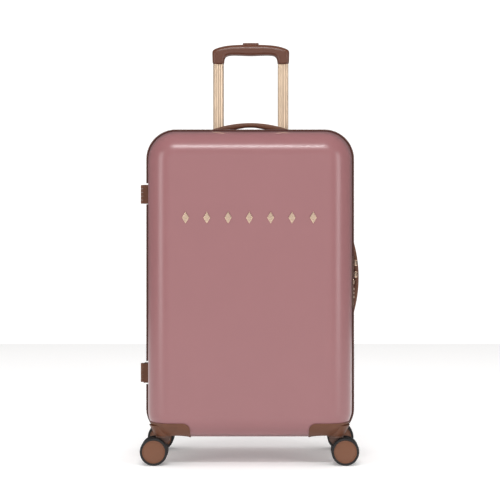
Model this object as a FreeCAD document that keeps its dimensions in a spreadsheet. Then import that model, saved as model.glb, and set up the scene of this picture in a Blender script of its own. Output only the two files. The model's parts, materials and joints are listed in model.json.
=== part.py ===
import FreeCAD, Part
import Sketcher
import math
import operator
import os

# A zip-closing hard-shell suitcase on four twin-wheel swivel casters.
# Frame: millimetres, +Z up, the floor at z = 0, x = 0 midway between the sides, y = 0 on the seam
# between the two half shells. The lid half is on the -Y side (front), the base half on +Y (rear).

DOC = FreeCAD.newDocument("suitcase")
SHEET = DOC.addObject("Spreadsheet::Sheet", "dims")

DIMENSIONS = {
    # the two half shells
    "shell_half_width": 205.5,
    "shell_bottom": 46.5,
    "shell_top": 654.9,
    "shell_depth": 135.0,
    "seam_half_gap": 0.3,
    "draft_angle": 4.5,
    "corner_radius_top": 56.0,
    "corner_radius_bottom": 50.0,
    "face_roll_radius": 45.0,
    "wall": 3.0,
    # zip tape and chain round the seam
    "tape_width": 8.0,
    "tape_proud": 3.0,
    "chain_width": 3.0,
    "chain_proud": 4.5,
    # leather-look corner guards
    "guard_proud": 1.5,
    "guard_inner_x": 115.0,
    "guard_top": 84.0,
    "guard_corner": 14.0,
    "guard_seam_side": 22.0,
    "boss_bottom": 56.6,
    "boss_radius": 15.5,
    "boss_top_radius": 27.5,
    "boss_top": 78.0,
    # casters
    "swivel_x": 168.0,
    "swivel_y": 97.0,
    "wheel_radius": 27.0,
    "wheel_trail": 18.0,
    "wheel_inner_face": 5.0,
    "wheel_outer_face": 21.0,
    "wheel_tread_bevel": 3.0,
    "disc_radius": 22.5,
    "disc_recess": 1.2,
    "web_half_thickness": 4.0,
    "axle_radius": 3.0,
    "axle_half_length": 19.0,
    "running_clearance": 0.05,
    "well_radius": 52.0,
    "well_roof": 59.5,
    "fork_disc_radius": 15.0,
    "fork_disc_bottom": 54.2,
    "fork_disc_top": 56.2,
    "fork_boss_radius": 9.0,
    "kingpin_radius": 5.0,
    "kingpin_spigot_radius": 3.0,
    "kingpin_spigot_bottom": 45.0,
    "kingpin_head_radius": 7.5,
    "kingpin_head_height": 2.0,
    "socket_radius": 9.0,
    "socket_top": 76.0,
    "socket_flange_radius": 11.5,
    "socket_flange_height": 3.0,
    # side hinges
    "hinge_axis_x": -215.2,
    "hinge_knuckle_radius": 5.3,
    "hinge_pin_radius": 1.5,
    "hinge_length": 38.0,
    "hinge_upper_z": 528.0,
    "hinge_lower_z": 169.0,
    "hinge_leaf_outer_x": -213.6,
    "hinge_leaf_width": 16.0,
    "hinge_gap": 0.4,
    # telescopic trolley
    "tube_x": 67.4,
    "tube_y": 108.0,
    "tube_gap": 0.3,
    "inner_width": 22.0,
    "inner_depth": 12.0,
    "inner_wall": 1.2,
    "inner_bottom": 360.0,
    "inner_top": 819.5,
    "middle_width": 26.0,
    "middle_depth": 16.0,
    "middle_wall": 1.7,
    "middle_bottom": 128.0,
    "middle_top": 611.5,
    "outer_width": 30.0,
    "outer_depth": 20.0,
    "outer_bottom": 76.0,
    "tube_corner": 3.0,
    "bezel_half_width": 91.0,
    "bezel_front": 89.0,
    "bezel_bottom": 609.0,
    "bezel_wall": 3.0,
    # trolley grip
    "grip_half_width": 80.5,
    "grip_depth": 26.0,
    "grip_bottom": 800.0,
    "grip_underside": 818.7,
    "grip_shoulder": 829.0,
    "grip_top": 841.7,
    "grip_inner_corner": 10.0,
    "grip_leg_width": 25.3,
    "grip_edge_radius": 7.0,
    "button_half_width": 16.5,
    "button_depth": 14.0,
    "button_bottom": 834.0,
    "button_top": 845.0,
    "button_travel": 4.0,
    "rod_radius": 1.5,
    # carry handles
    "handle_depth": 26.0,
    "handle_y": 33.0,
    "handle_travel": 14.0,
    "handle_leg_width": 12.0,
    "handle_leg_depth": 12.0,
    "handle_leg_length": 30.0,
    "handle_leg_gap": 0.3,
    "handle_foot": 4.0,
    "handle_base_width": 32.0,
    "handle_base_depth": 34.0,
    "top_handle_peak": 673.5,
    "top_handle_length": 172.0,
    "top_handle_rise": 16.5,
    "top_handle_thickness": 9.0,
    "side_handle_middle": 359.5,
    "side_handle_peak": 220.5,
    "side_handle_length": 160.0,
    "side_handle_rise": 12.5,
    "side_handle_thickness": 6.0,
    # lock on the lid's free side
    "lock_low": 301.0,
    "lock_high": 404.0,
    "lock_y": -18.0,
    "lock_half_width": 9.0,
    "lock_face_x": 207.0,
    "lock_back_x": 188.0,
    "lock_flange_x": 200.3,
    "dial_x": 202.8,
    "dial_radius": 6.0,
    "dial_width": 4.4,
    "dial_pitch": 8.0,
    "dial_first_z": 322.0,
    "spindle_radius": 1.2,
    "key_radius": 4.0,
    "key_z": 309.5,
    "release_low": 347.5,
    "release_high": 357.5,
    "release_half_width": 3.5,
    "release_travel": 4.0,
    # zip sliders and their pulls
    "slider_length": 14.0,
    "slider_half_width": 5.5,
    "upper_slider_z": 390.0,
    "lower_slider_z": 366.6,
    "slider_plate_low": 210.9,
    "slider_plate_high": 212.6,
    "bridge_x": 214.8,
    "bridge_radius": 1.0,
    "pull_eye_radius": 1.9,
    "pull_length": 24.0,
    "pull_half_width": 3.5,
    "pull_thickness": 1.8,
    "pull_tip_x": 210.3,
    # front studs, linings and straps
    "stud_count": 7.0,
    "stud_pitch": 41.0,
    "stud_width": 14.0,
    "stud_height": 24.0,
    "stud_proud": 1.5,
    "stud_z": 481.6,
    "lining_gap": 0.3,
    "lining_thickness": 1.5,
    "tunnel_front": 95.0,
    "tunnel_half_width": 95.0,
    "tunnel_wall": 2.0,
    "divider_y": 5.0,
    "strap_width": 30.0,
    "strap_thickness": 1.6,
    "strap_y": 5.0,
    "strap_tilt": 20.0,
    "strap_z": 350.0,
    "buckle_half_width": 24.0,
    "buckle_half_height": 20.0,
}


class Size:
    """A length with its number and the sheet expression that it comes from."""

    def __init__(self, number, words):
        self.number = number
        self.words = words

    def __add__(self, other):
        return joined(self, "+", other)

    def __radd__(self, other):
        return joined(other, "+", self)

    def __sub__(self, other):
        return joined(self, "-", other)

    def __rsub__(self, other):
        return joined(other, "-", self)

    def __mul__(self, other):
        return joined(self, "*", other)

    def __rmul__(self, other):
        return joined(other, "*", self)

    def __truediv__(self, other):
        return joined(self, "/", other)

    def __neg__(self):
        return joined(0.0, "-", self)


SIGNS = {"+": operator.add, "-": operator.sub, "*": operator.mul, "/": operator.truediv}


def number(size):
    return size.number if isinstance(size, Size) else float(size)


def words(size):
    return size.words if isinstance(size, Size) else f"({float(size):.6f})"


def joined(first, sign, second):
    return Size(SIGNS[sign](number(first), number(second)), f"({words(first)} {sign} {words(second)})")


class Sheet:
    """Every driving dimension as an attribute."""


D = Sheet()
for row, (alias, amount) in enumerate(DIMENSIONS.items(), start=1):
    SHEET.set(f"A{row}", alias)
    SHEET.set(f"B{row}", str(amount))
    SHEET.setAlias(f"B{row}", alias)
    setattr(D, alias, Size(amount, f"dims.{alias}"))
DOC.recompute()

NODES = {}
X_AXIS = FreeCAD.Vector(1, 0, 0)
Y_AXIS = FreeCAD.Vector(0, 1, 0)
Z_AXIS = FreeCAD.Vector(0, 0, 1)
TURN_TO = {
    "x": FreeCAD.Rotation(Z_AXIS, X_AXIS),
    "y": FreeCAD.Rotation(Z_AXIS, Y_AXIS),
    "z": FreeCAD.Rotation(),
}


# ---- tools for making pieces ----------------------------------------------------------------


def node(name, thing):
    """Names a finished sub-part: its Label becomes the name of its file."""
    thing.Label = name
    NODES[name] = thing
    return thing


def put(thing, x=None, y=None, z=None):
    """Binds a placement's base to sheet expressions."""
    for axis, size in (("x", x), ("y", y), ("z", z)):
        if size is not None:
            thing.setExpression(f"Placement.Base.{axis}", words(size))
    return thing


def box(name, x, y, z):
    """A block between (low, high) pairs."""
    block = DOC.addObject("Part::Box", name)
    for prop, (low, high) in (("Length", x), ("Width", y), ("Height", z)):
        block.setExpression(prop, words(high - low))
    return put(block, x[0], y[0], z[0])


def rod(name, x, y, z, radius, length, along="z"):
    """A cylinder that starts at a point and runs along an axis."""
    cylinder = DOC.addObject("Part::Cylinder", name)
    cylinder.setExpression("Radius", words(radius))
    cylinder.setExpression("Height", words(length))
    cylinder.Placement.Rotation = TURN_TO[along]
    return put(cylinder, x, y, z)


def fuse(name, *things):
    union = DOC.addObject("Part::MultiFuse", name)
    union.Shapes = list(things)
    return union


def cut(name, base, *tools):
    tool = tools[0] if len(tools) == 1 else fuse(name + "_tools", *tools)
    result = DOC.addObject("Part::Cut", name)
    result.Base = base
    result.Tool = tool
    return result


def common(name, *things):
    result = DOC.addObject("Part::MultiCommon", name)
    result.Shapes = list(things)
    return result


def group(name, *things):
    """Separate solids that share one node."""
    result = DOC.addObject("Part::Compound", name)
    result.Links = list(things)
    return result


def mirrored(name, source, normal):
    result = DOC.addObject("Part::Mirroring", name)
    result.Source = source
    result.Base = FreeCAD.Vector()
    result.Normal = normal
    return result


def rounded(name, source, radius, test):
    """Part::Fillet on the edges that pass a test."""
    DOC.recompute()
    result = DOC.addObject("Part::Fillet", name)
    result.Base = source
    amount = number(radius)
    chosen = [i for i, edge in enumerate(source.Shape.Edges, start=1) if test(edge)]
    result.Edges = [(i, amount, amount) for i in chosen]
    return result


def origin_plane(body, role):
    return next(f for f in body.Origin.OriginFeatures if f.Role == role)


def sketch_of(body, name, plane, offset, loops):
    """A sketch of closed polygons whose corners are bound to the sheet. Loops hold (u, v) pairs."""
    sketch = body.newObject("Sketcher::SketchObject", name)
    sketch.AttachmentSupport = [(origin_plane(body, plane), "")]
    sketch.MapMode = "FlatFace"
    sketch.setExpression("AttachmentOffset.Base.z", words(offset))
    for loop in loops:
        first = sketch.GeometryCount
        corners = [FreeCAD.Vector(number(u), number(v), 0) for u, v in loop]
        for start, end in zip(corners, corners[1:] + corners[:1]):
            sketch.addGeometry(Part.LineSegment(start, end), False)
        for i, (u, v) in enumerate(loop):
            here = first + i
            before = first + (i - 1) % len(loop)
            sketch.addConstraint(Sketcher.Constraint("Coincident", before, 2, here, 1))
            for kind, size in (("DistanceX", u), ("DistanceY", v)):
                made = sketch.addConstraint(Sketcher.Constraint(kind, -1, 1, here, 1, number(size)))
                sketch.setExpression(f"Constraints[{made}]", words(size))
    return sketch


# a plane's role, and the sign of its sketches' normal along the world axis that they are padded on
PLANES = {"x": ("YZ_Plane", 1), "y": ("XZ_Plane", -1), "z": ("XY_Plane", 1)}


def prism(name, along, span, loops, draft=None):
    """A padded body between two places on an axis. It narrows towards the far end if it has draft."""
    plane, sign = PLANES[along]
    low, high = span
    body = DOC.addObject("PartDesign::Body", name)
    sketch = sketch_of(body, name + "_outline", plane, low * sign, loops)
    pad = body.newObject("PartDesign::Pad", name + "_pad")
    pad.Profile = sketch
    pad.setExpression("Length", words(high - low))
    pad.Reversed = sign < 0
    if draft is not None:
        pad.setExpression("TaperAngle", words(-draft))
    DOC.recompute()
    return body


def soften(body, radius, test):
    """PartDesign::Fillet on the edges of a body's tip that pass a test."""
    base = body.Tip
    chosen = [f"Edge{i}" for i, edge in enumerate(base.Shape.Edges, start=1) if test(edge)]
    fillet = body.newObject("PartDesign::Fillet", body.Name + "_fillet")
    fillet.Base = (base, chosen)
    fillet.setExpression("Radius", words(radius))
    DOC.recompute()
    return body


def turned(name, outline, along):
    """A revolved body about an axis through the origin; the outline holds (radius, place) pairs."""
    body = DOC.addObject("PartDesign::Body", name)
    plane = {"y": "XY_Plane", "z": "XZ_Plane"}[along]
    sketch = sketch_of(body, name + "_outline", plane, 0.0, [outline])
    spin = body.newObject("PartDesign::Revolution", name + "_revolve")
    spin.Profile = sketch
    spin.ReferenceAxis = (sketch, ["V_Axis"])
    spin.Angle = 360.0
    return body


def rectangle(u, v):
    return [(u[0], v[0]), (u[1], v[0]), (u[1], v[1]), (u[0], v[1])]


def both_sides(size, centre=0.0):
    """The (low, high) pair of a width about a centre."""
    return (centre - size / 2, centre + size / 2)


def runs_along(edge, axis, slack=0.15):
    """True for a straight edge within a slant of an axis."""
    start, end = edge.valueAt(edge.FirstParameter), edge.valueAt(edge.LastParameter)
    chord = end - start
    if chord.Length < 0.01 or edge.Length - chord.Length > 0.001:
        return False
    return (chord / chord.Length).cross(axis).Length < slack


# ---- the two half shells --------------------------------------------------------------------


def half_block(name, grow):
    """The rear half's outer form, grown or shrunk evenly, with its open side on the seam."""
    half_width = D.shell_half_width + grow
    low = D.shell_bottom - grow
    high = D.shell_top + grow
    depth = D.shell_depth + grow
    middle = number(low + high) / 2
    outline = rectangle((-half_width, half_width), (low, high))
    block = prism(name, "y", (D.seam_half_gap, depth), [outline], D.draft_angle)
    near_bottom = number(low) + 30
    soften(block, D.corner_radius_top + grow, lambda e: runs_along(e, Y_AXIS) and e.CenterOfMass.z > middle)
    soften(
        block,
        D.corner_radius_bottom + grow,
        lambda e: runs_along(e, Y_AXIS) and e.CenterOfMass.z < near_bottom,
    )
    soften(block, D.face_roll_radius + grow, lambda e: abs(e.CenterOfMass.y - number(depth)) < 0.001)
    return block


def caster_zones(name, radius, top):
    """Cylinders round both rear swivel axes, from below the floor up to a height."""
    return fuse(
        name,
        *[
            rod(f"{name}_{side}", sign * D.swivel_x, D.swivel_y, -10.0, radius, top + 10.0)
            for side, sign in (("left", -1.0), ("right", 1.0))
        ],
    )


outer_block = half_block("outer_block", 0.0)
inner_block = half_block("inner_block", -D.wall)
wells = caster_zones("wells", D.well_radius, D.well_roof)
well_domes = caster_zones("well_domes", D.well_radius + D.wall, D.well_roof + D.wall)
welled_block = cut("welled_block", outer_block, wells)
cavity = cut("cavity", inner_block, well_domes)
bare_shell = cut("bare_shell", welled_block, cavity)
DOC.recompute()


# ---- casters --------------------------------------------------------------------------------

SCREW_TURNS = (170.0, 215.0, 260.0)
SCREW_CIRCLE = 17.0
SCREW_RADIUS = 1.8
SCREW_HEAD_RADIUS = 3.4
SCREW_HEAD_HEIGHT = 2.2
guard_plate_bottom = D.well_roof - D.guard_proud
roof_top = D.well_roof + D.wall
locknut_bottom = D.socket_top - D.socket_flange_height


def caster_screw(name, turn):
    """One pan-head screw that holds the guard's plate to the roof of the caster well."""
    x = D.swivel_x + SCREW_CIRCLE * math.cos(math.radians(turn))
    y = D.swivel_y + SCREW_CIRCLE * math.sin(math.radians(turn))
    shank = rod(name + "_shank", x, y, guard_plate_bottom, SCREW_RADIUS, roof_top - guard_plate_bottom)
    head = rod(name + "_head", x, y, roof_top, SCREW_HEAD_RADIUS, SCREW_HEAD_HEIGHT)
    return fuse(name, shank, head)


screws_right = group("screws_right", *[caster_screw(f"screw_{int(turn)}", turn) for turn in SCREW_TURNS])
screws_left = mirrored("screws_left", screws_right, X_AXIS)
screws = group("screws", screws_right, screws_left)

bore_radius = D.kingpin_radius + D.running_clearance
socket_right = put(
    turned(
        "socket_right",
        [
            (bore_radius, D.boss_bottom),
            (D.socket_radius, D.boss_bottom),
            (D.socket_radius, locknut_bottom),
            (D.socket_flange_radius, locknut_bottom),
            (D.socket_flange_radius, D.socket_top),
            (bore_radius, D.socket_top),
        ],
        "z",
    ),
    D.swivel_x,
    D.swivel_y,
)
socket_left = mirrored("socket_left", socket_right, X_AXIS)
sockets = group("sockets", socket_right, socket_left)
socket_holes = caster_zones("socket_holes", D.socket_radius, D.socket_top)


def caster(corner, x_side, y_side):
    """The fork, its two pins and its twin wheels, with the wheels trailing outward."""
    x = x_side * D.swivel_x
    y = y_side * D.swivel_y
    wheel_x = x_side * (D.swivel_x + D.wheel_trail)
    web = D.web_half_thickness
    disc_height = D.fork_disc_top - D.fork_disc_bottom
    disc = rod(f"fork_disc_{corner}", x, y, D.fork_disc_bottom, D.fork_disc_radius, disc_height)
    side = [(-12.0, 55.0), (-12.0, 47.0), (11.0, 21.3), (25.0, 33.0), (13.0, 55.0)]
    arm = prism(
        f"fork_arm_{corner}", "y", (y - web, y + web), [[(x + x_side * along, up) for along, up in side]]
    )
    boss = rod(f"fork_boss_{corner}", wheel_x, y - web, D.wheel_radius, D.fork_boss_radius, 2 * web, "y")
    solid_fork = fuse(f"fork_solid_{corner}", disc, arm, boss)
    axle = rod(
        f"axle_{corner}",
        wheel_x,
        y - D.axle_half_length,
        D.wheel_radius,
        D.axle_radius,
        2 * D.axle_half_length,
        "y",
    )
    head_bottom = D.socket_top + 0.2
    kingpin = put(
        turned(
            f"kingpin_{corner}",
            [
                (0.0, D.kingpin_spigot_bottom),
                (D.kingpin_spigot_radius, D.kingpin_spigot_bottom),
                (D.kingpin_spigot_radius, D.fork_disc_top),
                (D.kingpin_radius, D.fork_disc_top),
                (D.kingpin_radius, head_bottom),
                (D.kingpin_head_radius, head_bottom),
                (D.kingpin_head_radius, head_bottom + D.kingpin_head_height),
                (0.0, head_bottom + D.kingpin_head_height),
            ],
            "z",
        ),
        x,
        y,
    )
    pins = node(f"caster_pins_{corner}", group(f"pins_{corner}", axle, kingpin))
    node(f"caster_fork_{corner}", cut(f"fork_{corner}", solid_fork, pins))
    for place, side_of_fork in (("outer", y_side), ("inner", -y_side)):
        put(wheel(f"wheel_{corner}_{place}", side_of_fork), wheel_x, y, D.wheel_radius)


def wheel(name, side):
    """One wheel: a hub with its tread moulded on, a blind bore and a raised disc on its outer face."""
    radius = D.wheel_radius
    inner = D.wheel_inner_face
    outer = D.wheel_outer_face
    bevel = D.wheel_tread_bevel
    bore = D.axle_radius + D.running_clearance
    blind_end = D.axle_half_length + 0.2
    body = turned(
        f"{name}_body",
        [
            (bore, inner),
            (radius - bevel, inner),
            (radius, inner + bevel),
            (radius, outer - bevel),
            (radius - bevel / 2, outer - bevel / 4),
            (D.disc_radius, outer - bevel / 5),
            (D.disc_radius, outer - D.disc_recess),
            (D.disc_radius - 1.0, outer - bevel / 4),
            (6.0, outer),
            (0.0, outer),
            (0.0, blind_end),
            (bore, blind_end),
        ],
        "y",
    )
    if side < 0:
        body.Placement.Rotation = FreeCAD.Rotation(Z_AXIS, 180)
    return node(name, body)


for y_name, y_side in (("front", -1.0), ("rear", 1.0)):
    for x_name, x_side in (("left", -1.0), ("right", 1.0)):
        caster(f"{y_name}_{x_name}", x_side, y_side)


# ---- corner guards --------------------------------------------------------------------------

guard_block = half_block("guard_block", D.guard_proud)
guard_region = prism(
    "guard_region",
    "y",
    (D.guard_seam_side, 150.0),
    [rectangle((D.guard_inner_x, 240.0), (20.0, D.guard_top))],
)
soften(
    guard_region,
    D.guard_corner,
    lambda e: runs_along(e, Y_AXIS)
    and e.CenterOfMass.z > number(D.guard_top) - 1
    and e.CenterOfMass.x < number(D.guard_inner_x) + 1,
)
guard_zone = rod(
    "guard_zone", D.swivel_x, D.swivel_y, -10.0, D.well_radius - D.guard_proud, guard_plate_bottom + 10.0
)
guard_skin = cut("guard_skin", common("guard_blank", guard_block, guard_region), guard_zone)
caster_boss = put(
    turned(
        "caster_boss",
        [
            (0.0, D.boss_bottom),
            (D.boss_radius, D.boss_bottom),
            (D.boss_top_radius, D.boss_top),
            (0.0, D.boss_top),
        ],
        "z",
    ),
    D.swivel_x,
    D.swivel_y,
)
guard_solid = fuse("guard_solid", guard_skin, caster_boss)
guard_right = cut("guard_right", guard_solid, welled_block, socket_holes, screws_right)
guard_left = mirrored("guard_left", guard_right, X_AXIS)


# ---- zip tape and chain ---------------------------------------------------------------------


def seam_block(name, grow, span):
    """A straight-sided slab with the shells' outline at the seam, grown evenly."""
    half_width = D.shell_half_width + grow
    low = D.shell_bottom - grow
    high = D.shell_top + grow
    middle = number(low + high) / 2
    slab = prism(name, "y", span, [rectangle((-half_width, half_width), (low, high))])
    soften(slab, D.corner_radius_top + grow, lambda e: runs_along(e, Y_AXIS) and e.CenterOfMass.z > middle)
    near_bottom = number(low) + 1
    soften(
        slab,
        D.corner_radius_bottom + grow,
        lambda e: runs_along(e, Y_AXIS) and e.CenterOfMass.z < near_bottom,
    )
    return slab


tape_slab = seam_block("tape_slab", D.tape_proud, (D.seam_half_gap, D.tape_width))
chain_slab = seam_block("chain_slab", D.chain_proud, (D.seam_half_gap, D.chain_width))
seam_opening = seam_block("seam_opening", 0.0, (-1.0, D.tape_width + 1.0))
hinge_notches = fuse(
    "hinge_notches",
    *[
        box(
            f"hinge_notch_{place}",
            (-230.0, -D.shell_half_width + 4.0),
            (-20.0, 20.0),
            (middle - D.hinge_length / 2 - 0.5, middle + D.hinge_length / 2 + 0.5),
        )
        for place, middle in (("upper", D.hinge_upper_z), ("lower", D.hinge_lower_z))
    ],
)
zip_half = cut("zip_half", fuse("zip_slabs", tape_slab, chain_slab), seam_opening, hinge_notches)
node("rear_zip_tape", group("rear_zip", zip_half))
node("front_zip_tape", mirrored("front_zip", zip_half, Y_AXIS))


# ---- trolley --------------------------------------------------------------------------------


def tube_pair(name, width, depth, wall, z_low, z_high):
    """Two upright rounded-rectangle tubes, one on each side of the middle."""
    outline = rectangle(both_sides(width, D.tube_x), both_sides(depth, D.tube_y))
    blank = prism(name + "_outside", "z", (z_low, z_high), [outline])
    soften(blank, D.tube_corner, lambda e: runs_along(e, Z_AXIS))
    if wall is not None:
        inside = rectangle(both_sides(width - 2 * wall, D.tube_x), both_sides(depth - 2 * wall, D.tube_y))
        bore = prism(name + "_inside", "z", (z_low - 1.0, z_high + 1.0), [inside])
        soften(bore, D.tube_corner - wall, lambda e: runs_along(e, Z_AXIS))
        blank = cut(name + "_right", blank, bore)
    return group(name, blank, mirrored(name + "_left", blank, X_AXIS))


outer_wall = (D.outer_width - D.middle_width) / 2 - D.tube_gap
outer_tubes = tube_pair(
    "outer_tubes", D.outer_width, D.outer_depth, outer_wall, D.outer_bottom, D.bezel_bottom
)
middle_tubes = tube_pair(
    "middle_tubes", D.middle_width, D.middle_depth, D.middle_wall, D.middle_bottom, D.middle_top
)
inner_tubes = tube_pair(
    "inner_tubes", D.inner_width, D.inner_depth, D.inner_wall, D.inner_bottom, D.inner_top
)
node("trolley_outer_tubes", outer_tubes)
node("trolley_middle_tubes", middle_tubes)
node("trolley_inner_tubes", inner_tubes)

bezel_width = (-D.bezel_half_width, D.bezel_half_width)
recess = box("recess", bezel_width, (D.bezel_front, 160.0), (D.bezel_bottom, 710.0))
recess_space = box(
    "recess_space",
    (-D.bezel_half_width + D.bezel_wall, D.bezel_half_width - D.bezel_wall),
    (D.bezel_front + D.bezel_wall, 170.0),
    (D.bezel_bottom + D.bezel_wall, 720.0),
)
bezel_holes = tube_pair(
    "bezel_holes",
    D.middle_width + 2 * D.tube_gap,
    D.middle_depth + 2 * D.tube_gap,
    None,
    D.bezel_bottom - 5.0,
    D.bezel_bottom + 10.0,
)
bezel_blank = common("bezel_blank", recess, outer_block)
node("trolley_bezel", cut("bezel", bezel_blank, recess_space, bezel_holes))

BRACKET_HALF_WIDTH = 90.0
BRACKET_TOP = 110.0
BRACKET_BACK = 122.0
PAD_HALF_WIDTH = 30.0
PAD_LOW = 99.5
back_panel_inside = D.shell_depth - D.wall
bracket_front = D.tunnel_front + D.tunnel_wall
bracket_block = box(
    "bracket_block",
    (-BRACKET_HALF_WIDTH, BRACKET_HALF_WIDTH),
    (bracket_front, BRACKET_BACK),
    (D.outer_bottom - 3.0, BRACKET_TOP),
)
bracket_pad = box(
    "bracket_pad",
    (-PAD_HALF_WIDTH, PAD_HALF_WIDTH),
    (BRACKET_BACK, back_panel_inside),
    (PAD_LOW, BRACKET_TOP),
)
bracket_sockets = tube_pair(
    "bracket_sockets", D.outer_width, D.outer_depth, None, D.outer_bottom, BRACKET_TOP + 1.0
)
node("trolley_bracket", cut("bracket", fuse("bracket_solid", bracket_block, bracket_pad), bracket_sockets))

cover_z = (BRACKET_TOP + 1.0, D.bezel_bottom - 4.0)
cover_block = box(
    "cover_block",
    (-D.tunnel_half_width, D.tunnel_half_width),
    (D.tunnel_front, back_panel_inside),
    cover_z,
)
cover_space = box(
    "cover_space",
    (-D.tunnel_half_width + D.tunnel_wall, D.tunnel_half_width - D.tunnel_wall),
    (D.tunnel_front + D.tunnel_wall, back_panel_inside + 1.0),
    (cover_z[0] - 1.0, cover_z[1] + 1.0),
)
node("trolley_cover", common("cover", cut("cover_channel", cover_block, cover_space), inner_block))


# ---- trolley grip, its button and the release rods -------------------------------------------

grip_rise = D.grip_top - D.grip_shoulder
grip_arc = (D.grip_half_width * D.grip_half_width + grip_rise * grip_rise) / (2 * grip_rise)
grip_y = both_sides(D.grip_depth, D.tube_y)
grip_z = (D.grip_bottom, D.grip_top + 5.0)
grip_block = box("grip_block", (-D.grip_half_width, D.grip_half_width), grip_y, grip_z)
crown_z = D.grip_top - grip_arc
grip_crown = rod("grip_crown", 0.0, grip_y[0] - 1.0, crown_z, grip_arc, D.grip_depth + 2.0, "y")
opening_half = D.grip_half_width - D.grip_leg_width
grip_opening = prism(
    "grip_opening",
    "y",
    (grip_y[0] - 2.0, grip_y[1] + 2.0),
    [rectangle((-opening_half, opening_half), (D.grip_bottom - 5.0, D.grip_underside))],
)
soften(
    grip_opening,
    D.grip_inner_corner,
    lambda e: runs_along(e, Y_AXIS) and e.CenterOfMass.z > number(D.grip_underside) - 1,
)
grip_form = cut("grip_form", common("grip_outline", grip_block, grip_crown), grip_opening)
grip_front = number(grip_y[0])
grip_back = number(grip_y[1])


def on_grip_faces(edge):
    """The outer edges of the grip's front and rear faces, all round the crown and the outer sides."""
    place = edge.CenterOfMass
    on_face = abs(place.y - grip_front) < 0.01 or abs(place.y - grip_back) < 0.01
    outside = abs(abs(place.x) - number(D.grip_half_width)) < 0.01 or place.z > number(D.grip_shoulder)
    return on_face and outside


grip_soft = rounded("grip_soft", grip_form, D.grip_edge_radius, on_grip_faces)
tube_tops = tube_pair("tube_tops", D.inner_width, D.inner_depth, None, D.grip_bottom - 1.0, D.inner_top)

BUTTON_GAP = 0.3
CHANNEL_HALF_WIDTH = 73.0
CHANNEL_HALF_DEPTH = 4.0
CROSSBAR_HALF_WIDTH = 70.0
CROSSBAR_HALF_DEPTH = 2.5
CROSSBAR_LOW = 824.5
CROSSBAR_HIGH = 827.5
STEM_HALF_WIDTH = 4.0
button_y = both_sides(D.button_depth, D.tube_y)
button_floor = D.button_bottom - D.button_travel - BUTTON_GAP
button_pocket = box(
    "button_pocket",
    (-D.button_half_width - BUTTON_GAP, D.button_half_width + BUTTON_GAP),
    (button_y[0] - BUTTON_GAP, button_y[1] + BUTTON_GAP),
    (button_floor, 860.0),
)
rod_channel = box(
    "rod_channel",
    (-CHANNEL_HALF_WIDTH, CHANNEL_HALF_WIDTH),
    both_sides(2 * CHANNEL_HALF_DEPTH, D.tube_y),
    (D.inner_top, button_floor),
)
node("trolley_grip", cut("grip", grip_soft, tube_tops, button_pocket, rod_channel))

button_block = prism(
    "button_block",
    "z",
    (D.button_bottom, D.button_top),
    [rectangle((-D.button_half_width, D.button_half_width), button_y)],
)
soften(button_block, 3.0, lambda e: runs_along(e, Z_AXIS))
soften(button_block, 1.5, lambda e: abs(e.CenterOfMass.z - number(D.button_top)) < 0.001)
node("grip_button", button_block)

ROD_BOTTOM = 345.0
crossbar = box(
    "crossbar",
    (-CROSSBAR_HALF_WIDTH, CROSSBAR_HALF_WIDTH),
    both_sides(2 * CROSSBAR_HALF_DEPTH, D.tube_y),
    (CROSSBAR_LOW, CROSSBAR_HIGH),
)
stem = box(
    "stem",
    (-STEM_HALF_WIDTH, STEM_HALF_WIDTH),
    both_sides(2 * CROSSBAR_HALF_DEPTH, D.tube_y),
    (CROSSBAR_HIGH, D.button_bottom),
)
pull_rods = [
    rod(f"pull_rod_{side}", sign * D.tube_x, D.tube_y, ROD_BOTTOM, D.rod_radius, CROSSBAR_LOW - ROD_BOTTOM)
    for side, sign in (("left", -1.0), ("right", 1.0))
]
node("release_rods", fuse("rods", crossbar, stem, *pull_rods))


# ---- spring-back carry handles ---------------------------------------------------------------


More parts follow.
